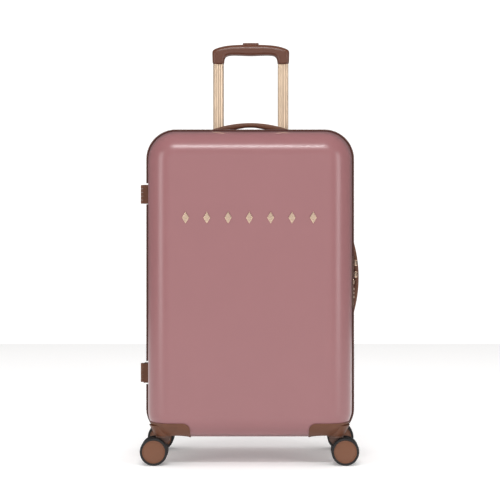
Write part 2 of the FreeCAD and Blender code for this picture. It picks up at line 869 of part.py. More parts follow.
def carry_handle(kind, middle, peak, length, rise, thickness):
    """An arched handle on two legs that slide out of two bases.

    Along is the handle's length, across is y and up points away from the case: z on the top, x on the side.
    """

    def block(name, along, across, up):
        return box(name, along, across, up) if kind == "top" else box(name, up, across, along)

    def ring(name, radius):
        centre = (middle, peak - (length * length / 4 + rise * rise) / (2 * rise))
        x, z = centre if kind == "top" else (centre[1], centre[0])
        return rod(name, x, across[0] - 1.0, z, radius, D.handle_depth + 2.0, "y")

    name = f"{kind}_handle"
    arc = (length * length / 4 + rise * rise) / (2 * rise)
    across = both_sides(D.handle_depth, D.handle_y)
    seat = peak - rise
    ends = block(name + "_ends", both_sides(length + 10.0, middle), across, (seat, peak + 1.0))
    crown = common(name + "_crown", ends, ring(name + "_outside", arc))
    arch = cut(name + "_arch", crown, ring(name + "_inside", arc - thickness))
    outer_edge = number(arc)
    soft_arch = rounded(
        name + "_soft", arch, 2.5, lambda e: abs(getattr(e.Curve, "Radius", 0.0) - outer_edge) < 0.01
    )
    leg_across = both_sides(D.handle_leg_depth, D.handle_y)
    gap = D.handle_leg_gap
    foot_top = seat - D.handle_leg_length
    collar_low = foot_top + D.handle_travel + 0.6
    base_top = seat - 0.4
    legs, bases, collars = [], [], []
    for side, sign in (("first", -1.0), ("second", 1.0)):
        label = f"{name}_{side}"
        place = middle + sign * (length / 2 - D.handle_leg_width)
        leg_along = both_sides(D.handle_leg_width, place)
        legs.append(block(label + "_leg", leg_along, leg_across, (foot_top, seat + 1.5)))
        foot_along = both_sides(D.handle_leg_width + D.handle_foot, place)
        foot_across = both_sides(D.handle_leg_depth + D.handle_foot, D.handle_y)
        legs.append(block(label + "_foot", foot_along, foot_across, (foot_top - D.handle_foot, foot_top)))
        plate = block(
            label + "_plate",
            both_sides(D.handle_base_width, place),
            both_sides(D.handle_base_depth, D.handle_y),
            (base_top - 20.0, base_top),
        )
        collar_along = both_sides(D.handle_leg_width + 6.0, place)
        collar_across = both_sides(D.handle_leg_depth + 6.0, D.handle_y)
        collar = block(label + "_collar", collar_along, collar_across, (collar_low, base_top))
        hole = block(
            label + "_hole",
            (leg_along[0] - gap, leg_along[1] + gap),
            (leg_across[0] - gap, leg_across[1] + gap),
            (collar_low - 1.0, base_top + 1.0),
        )
        seated = cut(label + "_seated", plate, outer_block)
        bases.append(cut(label + "_base", fuse(label + "_base_solid", seated, collar), hole))
        collars.append(collar)
    node(name, fuse(name + "_solid", soft_arch, *legs))
    node(name + "_base", group(name + "_bases", *bases))
    inside = block(
        name + "_inside_room",
        both_sides(length + 16.0, middle),
        both_sides(D.handle_base_depth, D.handle_y),
        (foot_top - D.handle_foot - 2.0, seat),
    )
    return collars, inside


top_collars, top_room = carry_handle(
    "top", Size(0.0, "0"), D.top_handle_peak, D.top_handle_length, D.top_handle_rise, D.top_handle_thickness
)
side_collars, side_room = carry_handle(
    "side",
    D.side_handle_middle,
    D.side_handle_peak,
    D.side_handle_length,
    D.side_handle_rise,
    D.side_handle_thickness,
)


# ---- hinges on the left side ------------------------------------------------------------------

front_outer_block = mirrored("front_outer_block", outer_block, Y_AXIS)
KNUCKLES = 5
KNUCKLE_END_GAP = 0.15
pitch = D.hinge_length / float(KNUCKLES)


def hinge_leaf(name, side, own, low, shell_form):
    """One leaf: a plate seated on its shell and its share of the knuckles round the pin."""
    axis_x = D.hinge_axis_x
    radius = D.hinge_knuckle_radius
    y_near = (D.hinge_gap, D.hinge_leaf_width) if side > 0 else (-D.hinge_leaf_width, -D.hinge_gap)
    web_y = (Size(0.0, "0"), radius) if side > 0 else (-radius, Size(0.0, "0"))
    x_pair = (D.hinge_leaf_outer_x, -D.shell_half_width + 3.0)
    plate = box(name + "_plate", x_pair, y_near, (low, low + D.hinge_length))
    rooms, knuckles = [], []
    for i in range(KNUCKLES):
        z_low = low + i * pitch
        if i in own:
            z_pair = (z_low + KNUCKLE_END_GAP, z_low + pitch - KNUCKLE_END_GAP)
            span = z_pair[1] - z_pair[0]
            knuckles.append(rod(f"{name}_knuckle_{i}", axis_x, 0.0, z_pair[0], radius, span))
            knuckles.append(box(f"{name}_web_{i}", (axis_x, D.hinge_leaf_outer_x + 4.0), web_y, z_pair))
        else:
            rooms.append(rod(f"{name}_room_{i}", axis_x, 0.0, z_low, radius + D.hinge_gap, pitch))
    pin_hole = rod(
        name + "_pin_hole",
        axis_x,
        0.0,
        low - 1.0,
        D.hinge_pin_radius + D.running_clearance,
        D.hinge_length + 2.0,
    )
    seated = cut(name + "_seated", plate, shell_form, *rooms)
    return cut(name, fuse(name + "_solid", seated, *knuckles), pin_hole)


hinge_places = {
    "upper": D.hinge_upper_z - D.hinge_length / 2,
    "lower": D.hinge_lower_z - D.hinge_length / 2,
}
base_leaves = [
    hinge_leaf(f"base_leaf_{k}", 1, (0, 2, 4), low, outer_block) for k, low in hinge_places.items()
]
lid_leaves = [
    hinge_leaf(f"lid_leaf_{k}", -1, (1, 3), low, front_outer_block) for k, low in hinge_places.items()
]
hinge_pins = [
    rod(f"hinge_pin_{k}", D.hinge_axis_x, 0.0, low, D.hinge_pin_radius, D.hinge_length)
    for k, low in hinge_places.items()
]
node("hinge_base_leaves", group("base_leaves", *base_leaves))
node("hinge_lid_leaves", group("lid_leaves", *lid_leaves))
node("hinge_pins", group("pins_of_hinges", *hinge_pins))


# ---- lock on the lid's free side ---------------------------------------------------------------

lock_y = both_sides(2 * D.lock_half_width, D.lock_y)
lock_hole = box("lock_hole", (D.lock_back_x - 3.0, D.lock_face_x + 8.0), lock_y, (D.lock_low, D.lock_high))
lock_face = box("lock_face", (D.lock_flange_x, D.lock_face_x), lock_y, (D.lock_low, D.lock_high))
LOCK_CASE_INSET = 1.5
lock_case = box(
    "lock_case",
    (D.lock_back_x, D.lock_flange_x),
    (lock_y[0] + LOCK_CASE_INSET, lock_y[1] - LOCK_CASE_INSET),
    (D.lock_low + 2 * LOCK_CASE_INSET, D.lock_high - 2 * LOCK_CASE_INSET),
)
SLOT_GAP = 0.3
dial_slots, dials = [], []
for i in range(3):
    z = D.dial_first_z + i * D.dial_pitch
    half = D.dial_width / 2
    reach = D.dial_radius + 2 * SLOT_GAP
    dial_slots.append(
        box(
            f"dial_slot_{i}",
            (D.dial_x - reach, 215.0),
            (D.lock_y - reach, D.lock_y + reach),
            (z - half - SLOT_GAP, z + half + SLOT_GAP),
        )
    )
    wheel_form = rod(f"dial_form_{i}", D.dial_x, D.lock_y, z - half, D.dial_radius, D.dial_width)
    dial_bore = rod(
        f"dial_bore_{i}",
        D.dial_x,
        D.lock_y,
        z - half - 1.0,
        D.spindle_radius + D.running_clearance,
        D.dial_width + 2.0,
    )
    grooves = [
        rod(
            f"dial_groove_{i}_{k}",
            D.dial_x + D.dial_radius * math.cos(math.radians(36.0 * k)),
            D.lock_y + D.dial_radius * math.sin(math.radians(36.0 * k)),
            z - half - 1.0,
            0.5,
            D.dial_width + 2.0,
        )
        for k in range(10)
    ]
    node(f"lock_dial_{i + 1}", cut(f"dial_{i}", wheel_form, dial_bore, *grooves))
spindle = rod(
    "spindle",
    D.dial_x,
    D.lock_y,
    D.dial_first_z - D.dial_pitch / 2,
    D.spindle_radius,
    3 * D.dial_pitch,
)
release_y = both_sides(2 * D.release_half_width, D.lock_y)
RELEASE_BACK_X = 203.0
RELEASE_FACE_X = 208.4
release_slot = box(
    "release_slot",
    (RELEASE_BACK_X - SLOT_GAP, 215.0),
    (release_y[0] - SLOT_GAP, release_y[1] + SLOT_GAP),
    (D.release_low - D.release_travel - SLOT_GAP, D.release_high + SLOT_GAP),
)
release_outline = rectangle(release_y, (D.release_low, D.release_high))
release_block = prism("release_block", "x", (RELEASE_BACK_X, RELEASE_FACE_X), [release_outline])
soften(release_block, 1.5, lambda e: runs_along(e, X_AXIS))
node("lock_release", release_block)

KEY_BACK_X = 196.0
KEY_FACE_X = 207.6
KEY_SLOT_WIDTH = 1.2
KEY_SLOT_LENGTH = 5.0
key_bore_radius = D.key_radius + D.running_clearance
key_bore = rod("key_bore", KEY_BACK_X - 0.2, D.lock_y, D.key_z, key_bore_radius, 20.0, "x")
key_plug = rod("key_plug", KEY_BACK_X, D.lock_y, D.key_z, D.key_radius, KEY_FACE_X - KEY_BACK_X, "x")
key_slot = box(
    "key_slot",
    (KEY_FACE_X - 4.0, 215.0),
    both_sides(KEY_SLOT_WIDTH, D.lock_y),
    both_sides(KEY_SLOT_LENGTH, D.key_z),
)
node("lock_cylinder", cut("key_cylinder", key_plug, key_slot))
docks = [
    box(f"dock_{k}", (D.lock_face_x - 2.0, 215.0), (lock_y[0] + 2.0, D.lock_y - 1.0), both_sides(8.0, z))
    for k, z in (("upper", D.upper_slider_z), ("lower", D.lower_slider_z))
]
lock_body = cut(
    "lock_body", fuse("lock_solid", lock_face, lock_case), *dial_slots, release_slot, key_bore, *docks
)
node("lock_housing", fuse("lock", lock_body, spindle))


# ---- zip sliders and pulls ----------------------------------------------------------------------


def zip_slider(name, z):
    """A slider that rides outside the chain, with a lip behind the rear chain and a bridge for its pull."""
    half = D.slider_length / 2
    z_span = (z - half, z + half)
    plate = prism(
        f"{name}_plate",
        "x",
        (D.slider_plate_low, D.slider_plate_high),
        [rectangle((-D.slider_half_width, D.slider_half_width), z_span)],
    )
    soften(plate, 2.5, lambda e: runs_along(e, X_AXIS))
    lip = box(
        f"{name}_lip",
        (D.shell_half_width + D.tape_proud + 0.4, D.slider_plate_low + 0.5),
        (D.chain_width + 0.5, D.slider_half_width),
        (z_span[0] + 2.5, z_span[1] - 2.5),
    )
    posts = [
        box(
            f"{name}_post_{k}",
            (D.slider_plate_high - 0.5, D.bridge_x + D.bridge_radius),
            (-D.bridge_radius, D.bridge_radius),
            (low, low + 1.5),
        )
        for k, low in (("low", z - 6.0), ("high", z + 4.5))
    ]
    bar = rod(f"{name}_bar", D.bridge_x, 0.0, z - 5.0, D.bridge_radius, 10.0)
    node(name, fuse(f"{name}_solid", plate, lip, bar, *posts))


def zip_pull(name, z):
    """A cranked tab hooked on a slider's bar, with its tip lying over the lock."""
    half = D.pull_half_width
    eye_x = D.bridge_x
    thick = D.pull_thickness
    tip = D.pull_tip_x
    side = [
        (eye_x - thick / 2, 0.0),
        (eye_x - thick / 2, -5.4),
        (tip, -11.3),
        (tip, -D.pull_length),
        (tip + thick, -D.pull_length),
        (tip + thick, -12.0),
        (eye_x + thick / 2, -6.2),
        (eye_x + thick / 2, 0.0),
    ]
    tab = prism(f"{name}_tab", "z", (z - half, z + half), [side])
    eye = rod(f"{name}_eye", eye_x, 0.0, z - half, D.pull_eye_radius, 2 * half)
    bore = rod(
        f"{name}_bore", eye_x, 0.0, z - half - 1.0, D.bridge_radius + D.running_clearance, 2 * half + 2.0
    )
    node(name, cut(f"{name}_made", fuse(f"{name}_solid", tab, eye), bore))


for place, z in (("upper", D.upper_slider_z), ("lower", D.lower_slider_z)):
    zip_slider(f"zip_slider_{place}", z)
    zip_pull(f"zip_pull_{place}", z)


# ---- plain studs on the front face ---------------------------------------------------------------

studs = []
for i in range(int(number(D.stud_count))):
    x = D.stud_pitch * (float(i) - (D.stud_count - 1.0) / 2)
    lozenge = [
        (x - D.stud_width / 2, D.stud_z),
        (x, D.stud_z - D.stud_height / 2),
        (x + D.stud_width / 2, D.stud_z),
        (x, D.stud_z + D.stud_height / 2),
    ]
    studs.append(prism(f"stud_{i}", "y", (-D.shell_depth - D.stud_proud, -D.shell_depth), [lozenge]))
node("front_studs", group("studs", *studs))


# ---- linings, straps and divider -----------------------------------------------------------------

lining_outside = half_block("lining_outside", -D.wall - D.lining_gap)
lining_inside = half_block("lining_inside", -D.wall - D.lining_gap - D.lining_thickness)
socket_rooms = caster_zones("socket_rooms", SCREW_CIRCLE + 2 * SCREW_HEAD_HEIGHT, D.socket_top + 6.0)
recess_room = box(
    "recess_room",
    (-D.bezel_half_width - 1.0, D.bezel_half_width + 1.0),
    (D.bezel_front - 1.0, 160.0),
    (D.bezel_bottom - 4.0, 710.0),
)
panel_back = D.tunnel_front - 0.5
lining_reach = box("lining_reach", (-300.0, 300.0), (-1.0, panel_back), (0.0, 800.0))
lining_hollow = box(
    "lining_hollow", (-300.0, 300.0), (-2.0, panel_back - D.lining_thickness), (-1.0, 801.0)
)
LINING_GAP = 0.3
lining_well_domes = caster_zones(
    "lining_well_domes", D.well_radius + D.wall + LINING_GAP, D.well_roof + D.wall + LINING_GAP
)
rear_tray = common("rear_tray", lining_outside, lining_reach)
rear_room = common("rear_room", lining_inside, lining_hollow)
rooms = (rear_room, socket_rooms, lining_well_domes, recess_room, top_room, side_room)
node("rear_lining", cut("rear_lining_made", rear_tray, *rooms))
lock_room = box(
    "lock_room",
    (D.lock_back_x - 2.0, D.lock_face_x),
    (-lock_y[1] - 1.0, -lock_y[0] + 1.0),
    (D.lock_low - 1.0, D.lock_high + 1.0),
)
front_tray = cut("front_tray", lining_outside, lining_inside, socket_rooms, lining_well_domes, lock_room)
node("front_lining", mirrored("front_lining_made", front_tray, Y_AXIS))

STRAP_REACH = 460.0


def strap(name, tilt):
    """One packing strap across the base half, tilted about its middle."""
    web = DOC.addObject("Part::Box", name)
    web.setExpression("Length", words(STRAP_REACH))
    web.setExpression("Width", words(D.strap_thickness))
    web.setExpression("Height", words(D.strap_width))
    turn = FreeCAD.Rotation(Y_AXIS, tilt)
    corner = turn.multVec(FreeCAD.Vector(-STRAP_REACH / 2, 0, -number(D.strap_width) / 2))
    web.Placement.Rotation = turn
    return put(web, corner.x, D.strap_y, corner.z + D.strap_z)


strap_tilt = number(D.strap_tilt)
rising = strap("strap_rising", -strap_tilt)
falling = strap("strap_falling", strap_tilt)
straps_crossed = fuse("straps_crossed", rising, falling)
node("rear_straps", common("straps_trimmed", straps_crossed, lining_inside))
buckle_block = box(
    "buckle_block",
    (-D.buckle_half_width, D.buckle_half_width),
    (D.strap_y - D.strap_thickness, D.strap_y + 2 * D.strap_thickness),
    (D.strap_z - D.buckle_half_height, D.strap_z + D.buckle_half_height),
)
node("rear_buckle", cut("buckle", buckle_block, straps_crossed))

divider_slab = box(
    "divider_slab", (-300.0, 300.0), (D.divider_y, D.divider_y + D.lining_thickness), (0.0, 800.0)
)
divider_panel = common("divider_panel", lining_inside, divider_slab)
divider_half = cut("divider_half", divider_panel, lock_room)
node("lid_divider", mirrored("divider_made", divider_half, Y_AXIS))


# ---- finished shells and the pieces shared by both halves -----------------------------------------

node(
    "rear_shell",
    cut("rear_shell_made", bare_shell, recess, socket_holes, screws, *top_collars, *side_collars),
)
front_bare = mirrored("front_bare", cut("front_plain", bare_shell, socket_holes, screws), Y_AXIS)
node("front_shell", cut("front_shell_made", front_bare, lock_hole))
node("rear_guard_right", group("rear_guard_right_made", guard_right))
node("rear_guard_left", group("rear_guard_left_made", guard_left))
node("front_guard_right", mirrored("front_guard_right_made", guard_right, Y_AXIS))
node("front_guard_left", mirrored("front_guard_left_made", guard_left, Y_AXIS))
node("rear_caster_sockets", group("rear_sockets", sockets))
node("front_caster_sockets", mirrored("front_sockets", sockets, Y_AXIS))
node("rear_screws", group("rear_screws_made", screws))
node("front_screws", mirrored("front_screws_made", screws, Y_AXIS))


# ---- checks and files -----------------------------------------------------------------------------

DOC.recompute()
failed = [thing.Name for thing in DOC.Objects if {"Invalid", "Error"} & set(thing.State)]
if failed:
    raise RuntimeError(f"these objects did not compute: {failed}")
for name, thing in NODES.items():
    shape = thing.Shape
    if shape.isNull() or not shape.isValid() or not shape.Solids:
        raise RuntimeError(f"{name} has no valid solid")

os.makedirs("parts", exist_ok=True)
for name, thing in sorted(NODES.items()):
    thing.Shape.exportStep(f"parts/{thing.Label}.step")
    print(f"{name:26s} {len(thing.Shape.Solids):3d} solids {thing.Shape.Volume / 1000:9.2f} cm3")
print(len(NODES), "nodes")
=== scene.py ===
import json
import math

import bmesh
import bpy
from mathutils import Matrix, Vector, noise


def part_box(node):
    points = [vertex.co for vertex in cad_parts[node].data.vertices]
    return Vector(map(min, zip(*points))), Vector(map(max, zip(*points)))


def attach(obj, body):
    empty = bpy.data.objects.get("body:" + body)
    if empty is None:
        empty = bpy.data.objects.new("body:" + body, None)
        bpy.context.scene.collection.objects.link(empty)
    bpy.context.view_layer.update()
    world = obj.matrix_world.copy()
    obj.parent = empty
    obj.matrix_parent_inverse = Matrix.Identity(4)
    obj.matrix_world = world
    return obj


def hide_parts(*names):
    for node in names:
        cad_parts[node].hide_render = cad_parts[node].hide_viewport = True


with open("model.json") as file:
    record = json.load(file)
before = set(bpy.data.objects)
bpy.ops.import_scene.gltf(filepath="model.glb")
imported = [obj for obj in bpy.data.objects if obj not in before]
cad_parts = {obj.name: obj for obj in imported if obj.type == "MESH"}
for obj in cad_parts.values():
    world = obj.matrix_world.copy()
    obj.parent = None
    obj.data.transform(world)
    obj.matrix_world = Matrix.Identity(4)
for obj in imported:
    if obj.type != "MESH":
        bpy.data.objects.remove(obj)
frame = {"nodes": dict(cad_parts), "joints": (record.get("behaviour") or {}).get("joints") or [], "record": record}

NODES = frame["nodes"]
JOINTS = {joint["name"]: joint for joint in frame["joints"]}
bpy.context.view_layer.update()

# ---- the case's form, in metres, round the seam at y = 0 ----

shell_low, shell_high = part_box("rear_shell")
HALF_WIDTH = shell_high.x
BOTTOM = shell_low.z
TOP = shell_high.z
DEPTH = shell_high.y
DRAFT = math.radians(4.5)
CORNER_TOP = 0.056
CORNER_BOTTOM = 0.050
ROLL = 0.045
WALL = 0.003
SEAM_GAP = 0.0003
PER_CORNER = 16
LEAST_RADIUS = 0.0008
HEART = Vector((0.0, 0.0, 0.35))


# ---- meshes ----


def add_object(name, mesh):
    """Link a new object for a mesh."""
    obj = bpy.data.objects.new(name, mesh)
    bpy.context.scene.collection.objects.link(obj)
    return obj


def mesh_object(name, points, faces, smooth=True):
    """A mesh object from points and faces, with its normals turned outwards."""
    mesh = bpy.data.meshes.new(name)
    mesh.from_pydata([tuple(p) for p in points], [], faces)
    made = bmesh.new()
    made.from_mesh(mesh)
    bmesh.ops.recalc_face_normals(made, faces=made.faces)
    made.to_mesh(mesh)
    made.free()
    for face in mesh.polygons:
        face.use_smooth = smooth
    return add_object(name, mesh)


def loft(name, loops, closed=True, capped=True, joined=False):
    """Quads between equal loops. Closed loops run right round; joined ties the last to the first."""
    count = len(loops[0])
    points = [p for loop in loops for p in loop]
    faces = []
    rows = len(loops) if joined else len(loops) - 1
    for row in range(rows):
        here = row * count
        there = (row + 1) % len(loops) * count
        for i in range(count if closed else count - 1):
            j = (i + 1) % count
            faces.append((here + i, here + j, there + j, there + i))
    if capped and not joined:
        faces.append(tuple(range(count)))
        faces.append(tuple(range(len(points) - count, len(points))))
    return mesh_object(name, points, faces)


def lathe(name, outline, centre, side=1.0, turns=72):
    """A solid turned about a Y axis through centre, from (radius, place) pairs."""
    steps = [2 * math.pi * i / turns for i in range(turns)]
    loops = [
        [
            centre + Vector((radius * math.cos(turn), side * place, radius * math.sin(turn)))
            for turn in steps
        ]
        for radius, place in outline
    ]
    return loft(name, loops)


def block(name, low, high, bevel=0.0, segments=3):
    """A box between two corners, with rounded edges."""
    made = bmesh.new()
    bmesh.ops.create_cube(made, size=1.0)
    size = Vector(high) - Vector(low)
    for vertex in made.verts:
        vertex.co = Vector(low) + Vector(((vertex.co[k] + 0.5) * size[k] for k in range(3)))
    if bevel:
        bmesh.ops.bevel(
            made, geom=made.edges[:], offset=bevel, segments=segments, profile=0.5, affect="EDGES"
        )
    mesh = bpy.data.meshes.new(name)
    made.to_mesh(mesh)
    made.free()
    for face in mesh.polygons:
        face.use_smooth = True
    return add_object(name, mesh)


def sharpen(obj, degrees=35.0):
    """Keep smooth shading only across edges flatter than an angle."""
    mesh = obj.data
    made = bmesh.new()
    made.from_mesh(mesh)
    limit = math.radians(degrees)
    for edge in made.edges:
        edge.smooth = not edge.is_manifold or edge.calc_face_angle(0.0) < limit
    made.to_mesh(mesh)
    made.free()


def join(name, objects):
    """One object from several, with their materials kept."""
    made = bmesh.new()
    mesh = bpy.data.meshes.new(name)
    slots = []
    for obj in objects:
        start = len(made.faces)
        made.from_mesh(obj.data)
        made.faces.ensure_lookup_table()
        material = obj.data.materials[0] if obj.data.materials else None
        if material not in slots:
            slots.append(material)
        for face in made.faces[start:]:
            face.material_index = slots.index(material)
    made.to_mesh(mesh)
    made.free()
    for material in slots:
        mesh.materials.append(material)
    for obj in objects:
        old = obj.data
        bpy.data.objects.remove(obj)
        bpy.data.meshes.remove(old)
    return add_object(name, mesh)


def applied(obj):
    """Put an object's modifiers into its mesh."""
    bpy.context.view_layer.update()
    obj.data = bpy.data.meshes.new_from_object(obj.evaluated_get(bpy.context.evaluated_depsgraph_get()))
    obj.modifiers.clear()
    for face in obj.data.polygons:
        face.use_smooth = True


def carve(obj, *cutters):
    """Cut closed meshes out of an object, and remove them."""
    for cutter in cutters:
        change = obj.modifiers.new("carve", "BOOLEAN")
        change.operation = "DIFFERENCE"
        change.solver = "EXACT"
        change.object = cutter
        applied(obj)
        bpy.data.objects.remove(cutter)


def solidify(obj, thickness):
    """Give a sheet its thickness, half to each side."""
    change = obj.modifiers.new("thickness", "SOLIDIFY")
    change.thickness = thickness
    change.offset = 0.0
    applied(obj)


# ---- materials ----


class Finish:
    """A Principled material whose sockets take plain values or the outputs of short node chains."""

    def __init__(self, name, colour, roughness, metallic=0.0):
        self.material = bpy.data.materials.new(name)
        self.material.use_nodes = True
        self.tree = self.material.node_tree
        self.shader = self.tree.nodes["Principled BSDF"]
        self.place = self.node("ShaderNodeTexCoord").outputs["Object"]
        self.set("Base Color", (*colour, 1.0))
        self.set("Roughness", roughness)
        self.set("Metallic", metallic)
        self.material.diffuse_color = (*colour, 1.0)

    def node(self, kind, inputs=None, **settings):
        """A node with its settings, and the values or outputs that go into it."""
        made = self.tree.nodes.new(kind)
        for key, value in settings.items():
            setattr(made, key, value)
        for key, value in (inputs or {}).items():
            self.feed(made.inputs[key], value)
        return made

    def feed(self, socket, value):
        if isinstance(value, bpy.types.NodeSocket):
            self.tree.links.new(value, socket)
        else:
            socket.default_value = value

    def set(self, name, value):
        self.feed(self.shader.inputs[name], value)

    def stretched(self, scale, turn=(0.0, 0.0, 0.0)):
        """Object coordinates scaled per axis, so that a pattern can run along one of them."""
        inputs = {"Vector": self.place, "Scale": scale, "Rotation": turn}
        return self.node("ShaderNodeMapping", inputs).outputs["Vector"]

    def noise(self, scale, detail=3.0, roughness=0.5, vector=None):
        inputs = {"Vector": vector or self.place, "Scale": scale}
        inputs.update({"Detail": detail, "Roughness": roughness})
        return self.node("ShaderNodeTexNoise", inputs).outputs["Fac"]

    def cells(self, scale):
        inputs = {"Vector": self.place, "Scale": scale}
        return self.node("ShaderNodeTexVoronoi", inputs, feature="SMOOTH_F1").outputs["Distance"]

    def wave(self, scale, direction, distortion, vector):
        inputs = {"Vector": vector, "Scale": scale, "Distortion": distortion, "Detail": 1.0}
        made = self.node("ShaderNodeTexWave", inputs, wave_type="BANDS", bands_direction=direction)
        return made.outputs["Fac"]

    def math(self, operation, first, second=0.0):
        return self.node("ShaderNodeMath", {0: first, 1: second}, operation=operation).outputs[0]

    def between(self, factor, low, high):
        """A number that follows a 0 to 1 factor from low to high."""
        inputs = {"Value": factor, "To Min": low, "To Max": high}
        return self.node("ShaderNodeMapRange", inputs).outputs["Result"]

    def ramp(self, factor, *stops):
        """Colours by position, as (position, (r, g, b)) stops."""
        made = self.node("ShaderNodeValToRGB", {"Fac": factor})
        line = made.color_ramp.elements
        while len(line) < len(stops):
            line.new(1.0)
        for element, (position, colour) in zip(line, stops):
            element.position = position
            element.color = (*colour, 1.0)
        return made.outputs["Color"]

    def bump(self, height, distance, strength=1.0, under=None):
        """A bump layer. Under is the normal of the layer below it."""
        inputs = {"Height": height, "Distance": distance, "Strength": strength}
        if under is not None:
            inputs["Normal"] = under
        return self.node("ShaderNodeBump", inputs).outputs["Normal"]


def dress(obj, finish, slot, body, *nodes):
    """Give a piece its one material, its body and the CAD nodes that it stands for. The slot argument is not used.
    """
    obj.data.materials.clear()
    obj.data.materials.append(finish)
    if nodes:
        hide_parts(*nodes)
    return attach(obj, body)


def shade(colour, factor):
    """A colour made lighter or darker."""
    return tuple(min(1.0, channel * factor) for channel in colour)


def moulded(name, colour, roughness, coat=0.0, grain=0.00002, grain_scale=900.0):
    """Moulded plastic: fine orange-peel, a faint flow in the colour and handling marks in the gloss."""
    finish = Finish(name, colour, roughness)
    flow = finish.noise(14.0, 4.0, 0.55)
    finish.set(
        "Base Color",
        finish.ramp(flow, (0.3, shade(colour, 0.988)), (0.7, shade(colour, 1.012))),
    )
    handled = finish.noise(60.0, 5.0, 0.6, finish.stretched((1.0, 1.0, 0.35)))
    finish.set("Roughness", finish.between(handled, roughness * 0.86, roughness * 1.16))
    peel = finish.bump(finish.noise(260.0, 2.0), grain * 3.0, 0.35)
    finish.set("Normal", finish.bump(finish.noise(grain_scale, 2.0), grain, 0.6, peel))
    finish.set("Coat Weight", coat)
    finish.set("Coat Roughness", 0.22)
    return finish.material


def leather(name, colour, roughness=0.46):
    """Coated leather-look trim: pebbled grain, creases between the pebbles and a slight sheen."""
    finish = Finish(name, colour, roughness)
    pebbles = finish.cells(620.0)
    creases = finish.noise(180.0, 4.0, 0.6)
    tone = finish.noise(26.0, 3.0)
    finish.set("Base Color", finish.ramp(tone, (0.3, shade(colour, 0.88)), (0.75, shade(colour, 1.12))))
    finish.set("Roughness", finish.between(pebbles, roughness * 0.8, roughness * 1.25))
    low = finish.bump(creases, 0.00012, 0.4)
    finish.set("Normal", finish.bump(pebbles, 0.00010, 0.55, low))
    finish.set("Specular IOR Level", 0.32)
    return finish.material


def woven(name, colour, threads, contrast=0.35, roughness=0.85, turn=0.0, relief=0.00018, sheen=0.25):
    """Woven cloth: two sets of threads that cross, each with its own tone, and slubs along them."""
    finish = Finish(name, colour, roughness)
    place = finish.stretched((1.0, 1.0, 1.0), (0.0, turn, 0.0))
    across = finish.wave(threads, "X", 0.2, place)
    upward = finish.wave(threads, "Z", 0.2, place)
    inward = finish.wave(threads, "Y", 0.2, place)
    warp = finish.math("MAXIMUM", across, inward)
    cloth = finish.math("MULTIPLY", warp, upward)
    slub = finish.noise(threads * 3.0, 2.0, 0.5, finish.stretched((1.0, 1.0, 0.1)))
    tone = finish.math("ADD", finish.math("MULTIPLY", cloth, 0.7), finish.math("MULTIPLY", slub, 0.3))
    finish.set(
        "Base Color",
        finish.ramp(tone, (0.1, shade(colour, 1 - contrast)), (0.8, shade(colour, 1 + contrast * 0.6))),
    )
    finish.set("Normal", finish.bump(cloth, relief, 0.7))
    finish.set("Specular IOR Level", 0.2)
    finish.set("Sheen Weight", sheen)
    finish.set("Sheen Roughness", 0.5)
    return finish.material


def metal(name, colour, roughness, along="Z"):
    """Satin metal with fine drawn lines along one axis and faint cloudiness."""
    finish = Finish(name, colour, roughness, 1.0)
    stretch = {"X": (0.03, 1.0, 1.0), "Y": (1.0, 0.03, 1.0), "Z": (1.0, 1.0, 0.03)}[along]
    drawn = finish.noise(700.0, 3.0, 0.6, finish.stretched(stretch))
    cloud = finish.noise(35.0, 4.0)
    finish.set("Base Color", finish.ramp(cloud, (0.3, shade(colour, 0.95)), (0.7, shade(colour, 1.04))))
    finish.set("Roughness", finish.between(drawn, roughness * 0.75, roughness * 1.3))
    finish.set("Normal", finish.bump(drawn, 0.00001, 0.5))
    return finish.material


def rubber(name, colour):
    """Tyre rubber: matt, finely pitted and slightly dusty."""
    finish = Finish(name, colour, 0.62)
    dust = finish.noise(90.0, 5.0, 0.65)
    finish.set("Base Color", finish.ramp(dust, (0.35, shade(colour, 0.8)), (0.8, shade(colour, 2.1))))
    finish.set("Roughness", finish.between(dust, 0.5, 0.78))
    finish.set("Normal", finish.bump(finish.noise(1100.0, 2.0), 0.00004, 0.6))
    return finish.material


PINK = (0.254, 0.108, 0.114)
BROWN = (0.122, 0.047, 0.024)
shell_finish = moulded("shell_satin_pink", PINK, 0.30, coat=0.25, grain=0.000012)
trim_finish = leather("trim_leather_brown", BROWN)
grip_finish = moulded("grip_satin_brown", (0.104, 0.036, 0.019), 0.34, coat=0.08, grain=0.00003)
tape_finish = woven("zip_tape_weave", (0.084, 0.032, 0.026), 420.0, 0.4, 0.8, relief=0.00012, sheen=0.03)
coil_finish = moulded("zip_coil_nylon", (0.052, 0.018, 0.012), 0.36)
tube_finish = metal("tube_anodised_champagne", (0.73, 0.56, 0.41), 0.32)
gold_finish = metal("fittings_champagne_gold", (0.70, 0.52, 0.39), 0.26, along="X")
steel_finish = metal("steel_plated", (0.56, 0.56, 0.57), 0.32)
lining_finish = woven("lining_twill", (0.300, 0.210, 0.180), 260.0, 0.22, 0.8, turn=0.7, relief=0.00010)
strap_finish = woven("strap_webbing", (0.130, 0.062, 0.042), 190.0, 0.45, 0.75, relief=0.00035)
black_finish = moulded("structural_black", (0.030, 0.026, 0.024), 0.5, grain=0.00006, grain_scale=600.0)
lock_finish = moulded("lock_case_brown", (0.085, 0.040, 0.028), 0.42, grain=0.00003)
dial_finish = moulded("dial_champagne", (0.50, 0.38, 0.29), 0.35)
fork_finish = moulded("fork_nylon_brown", (0.110, 0.052, 0.034), 0.45, grain=0.00005, grain_scale=600.0)
tyre_finish = rubber("tyre_rubber", (0.006, 0.005, 0.005))
disc_finish = moulded("wheel_disc_brown", (0.150, 0.056, 0.024), 0.42, grain=0.00002)

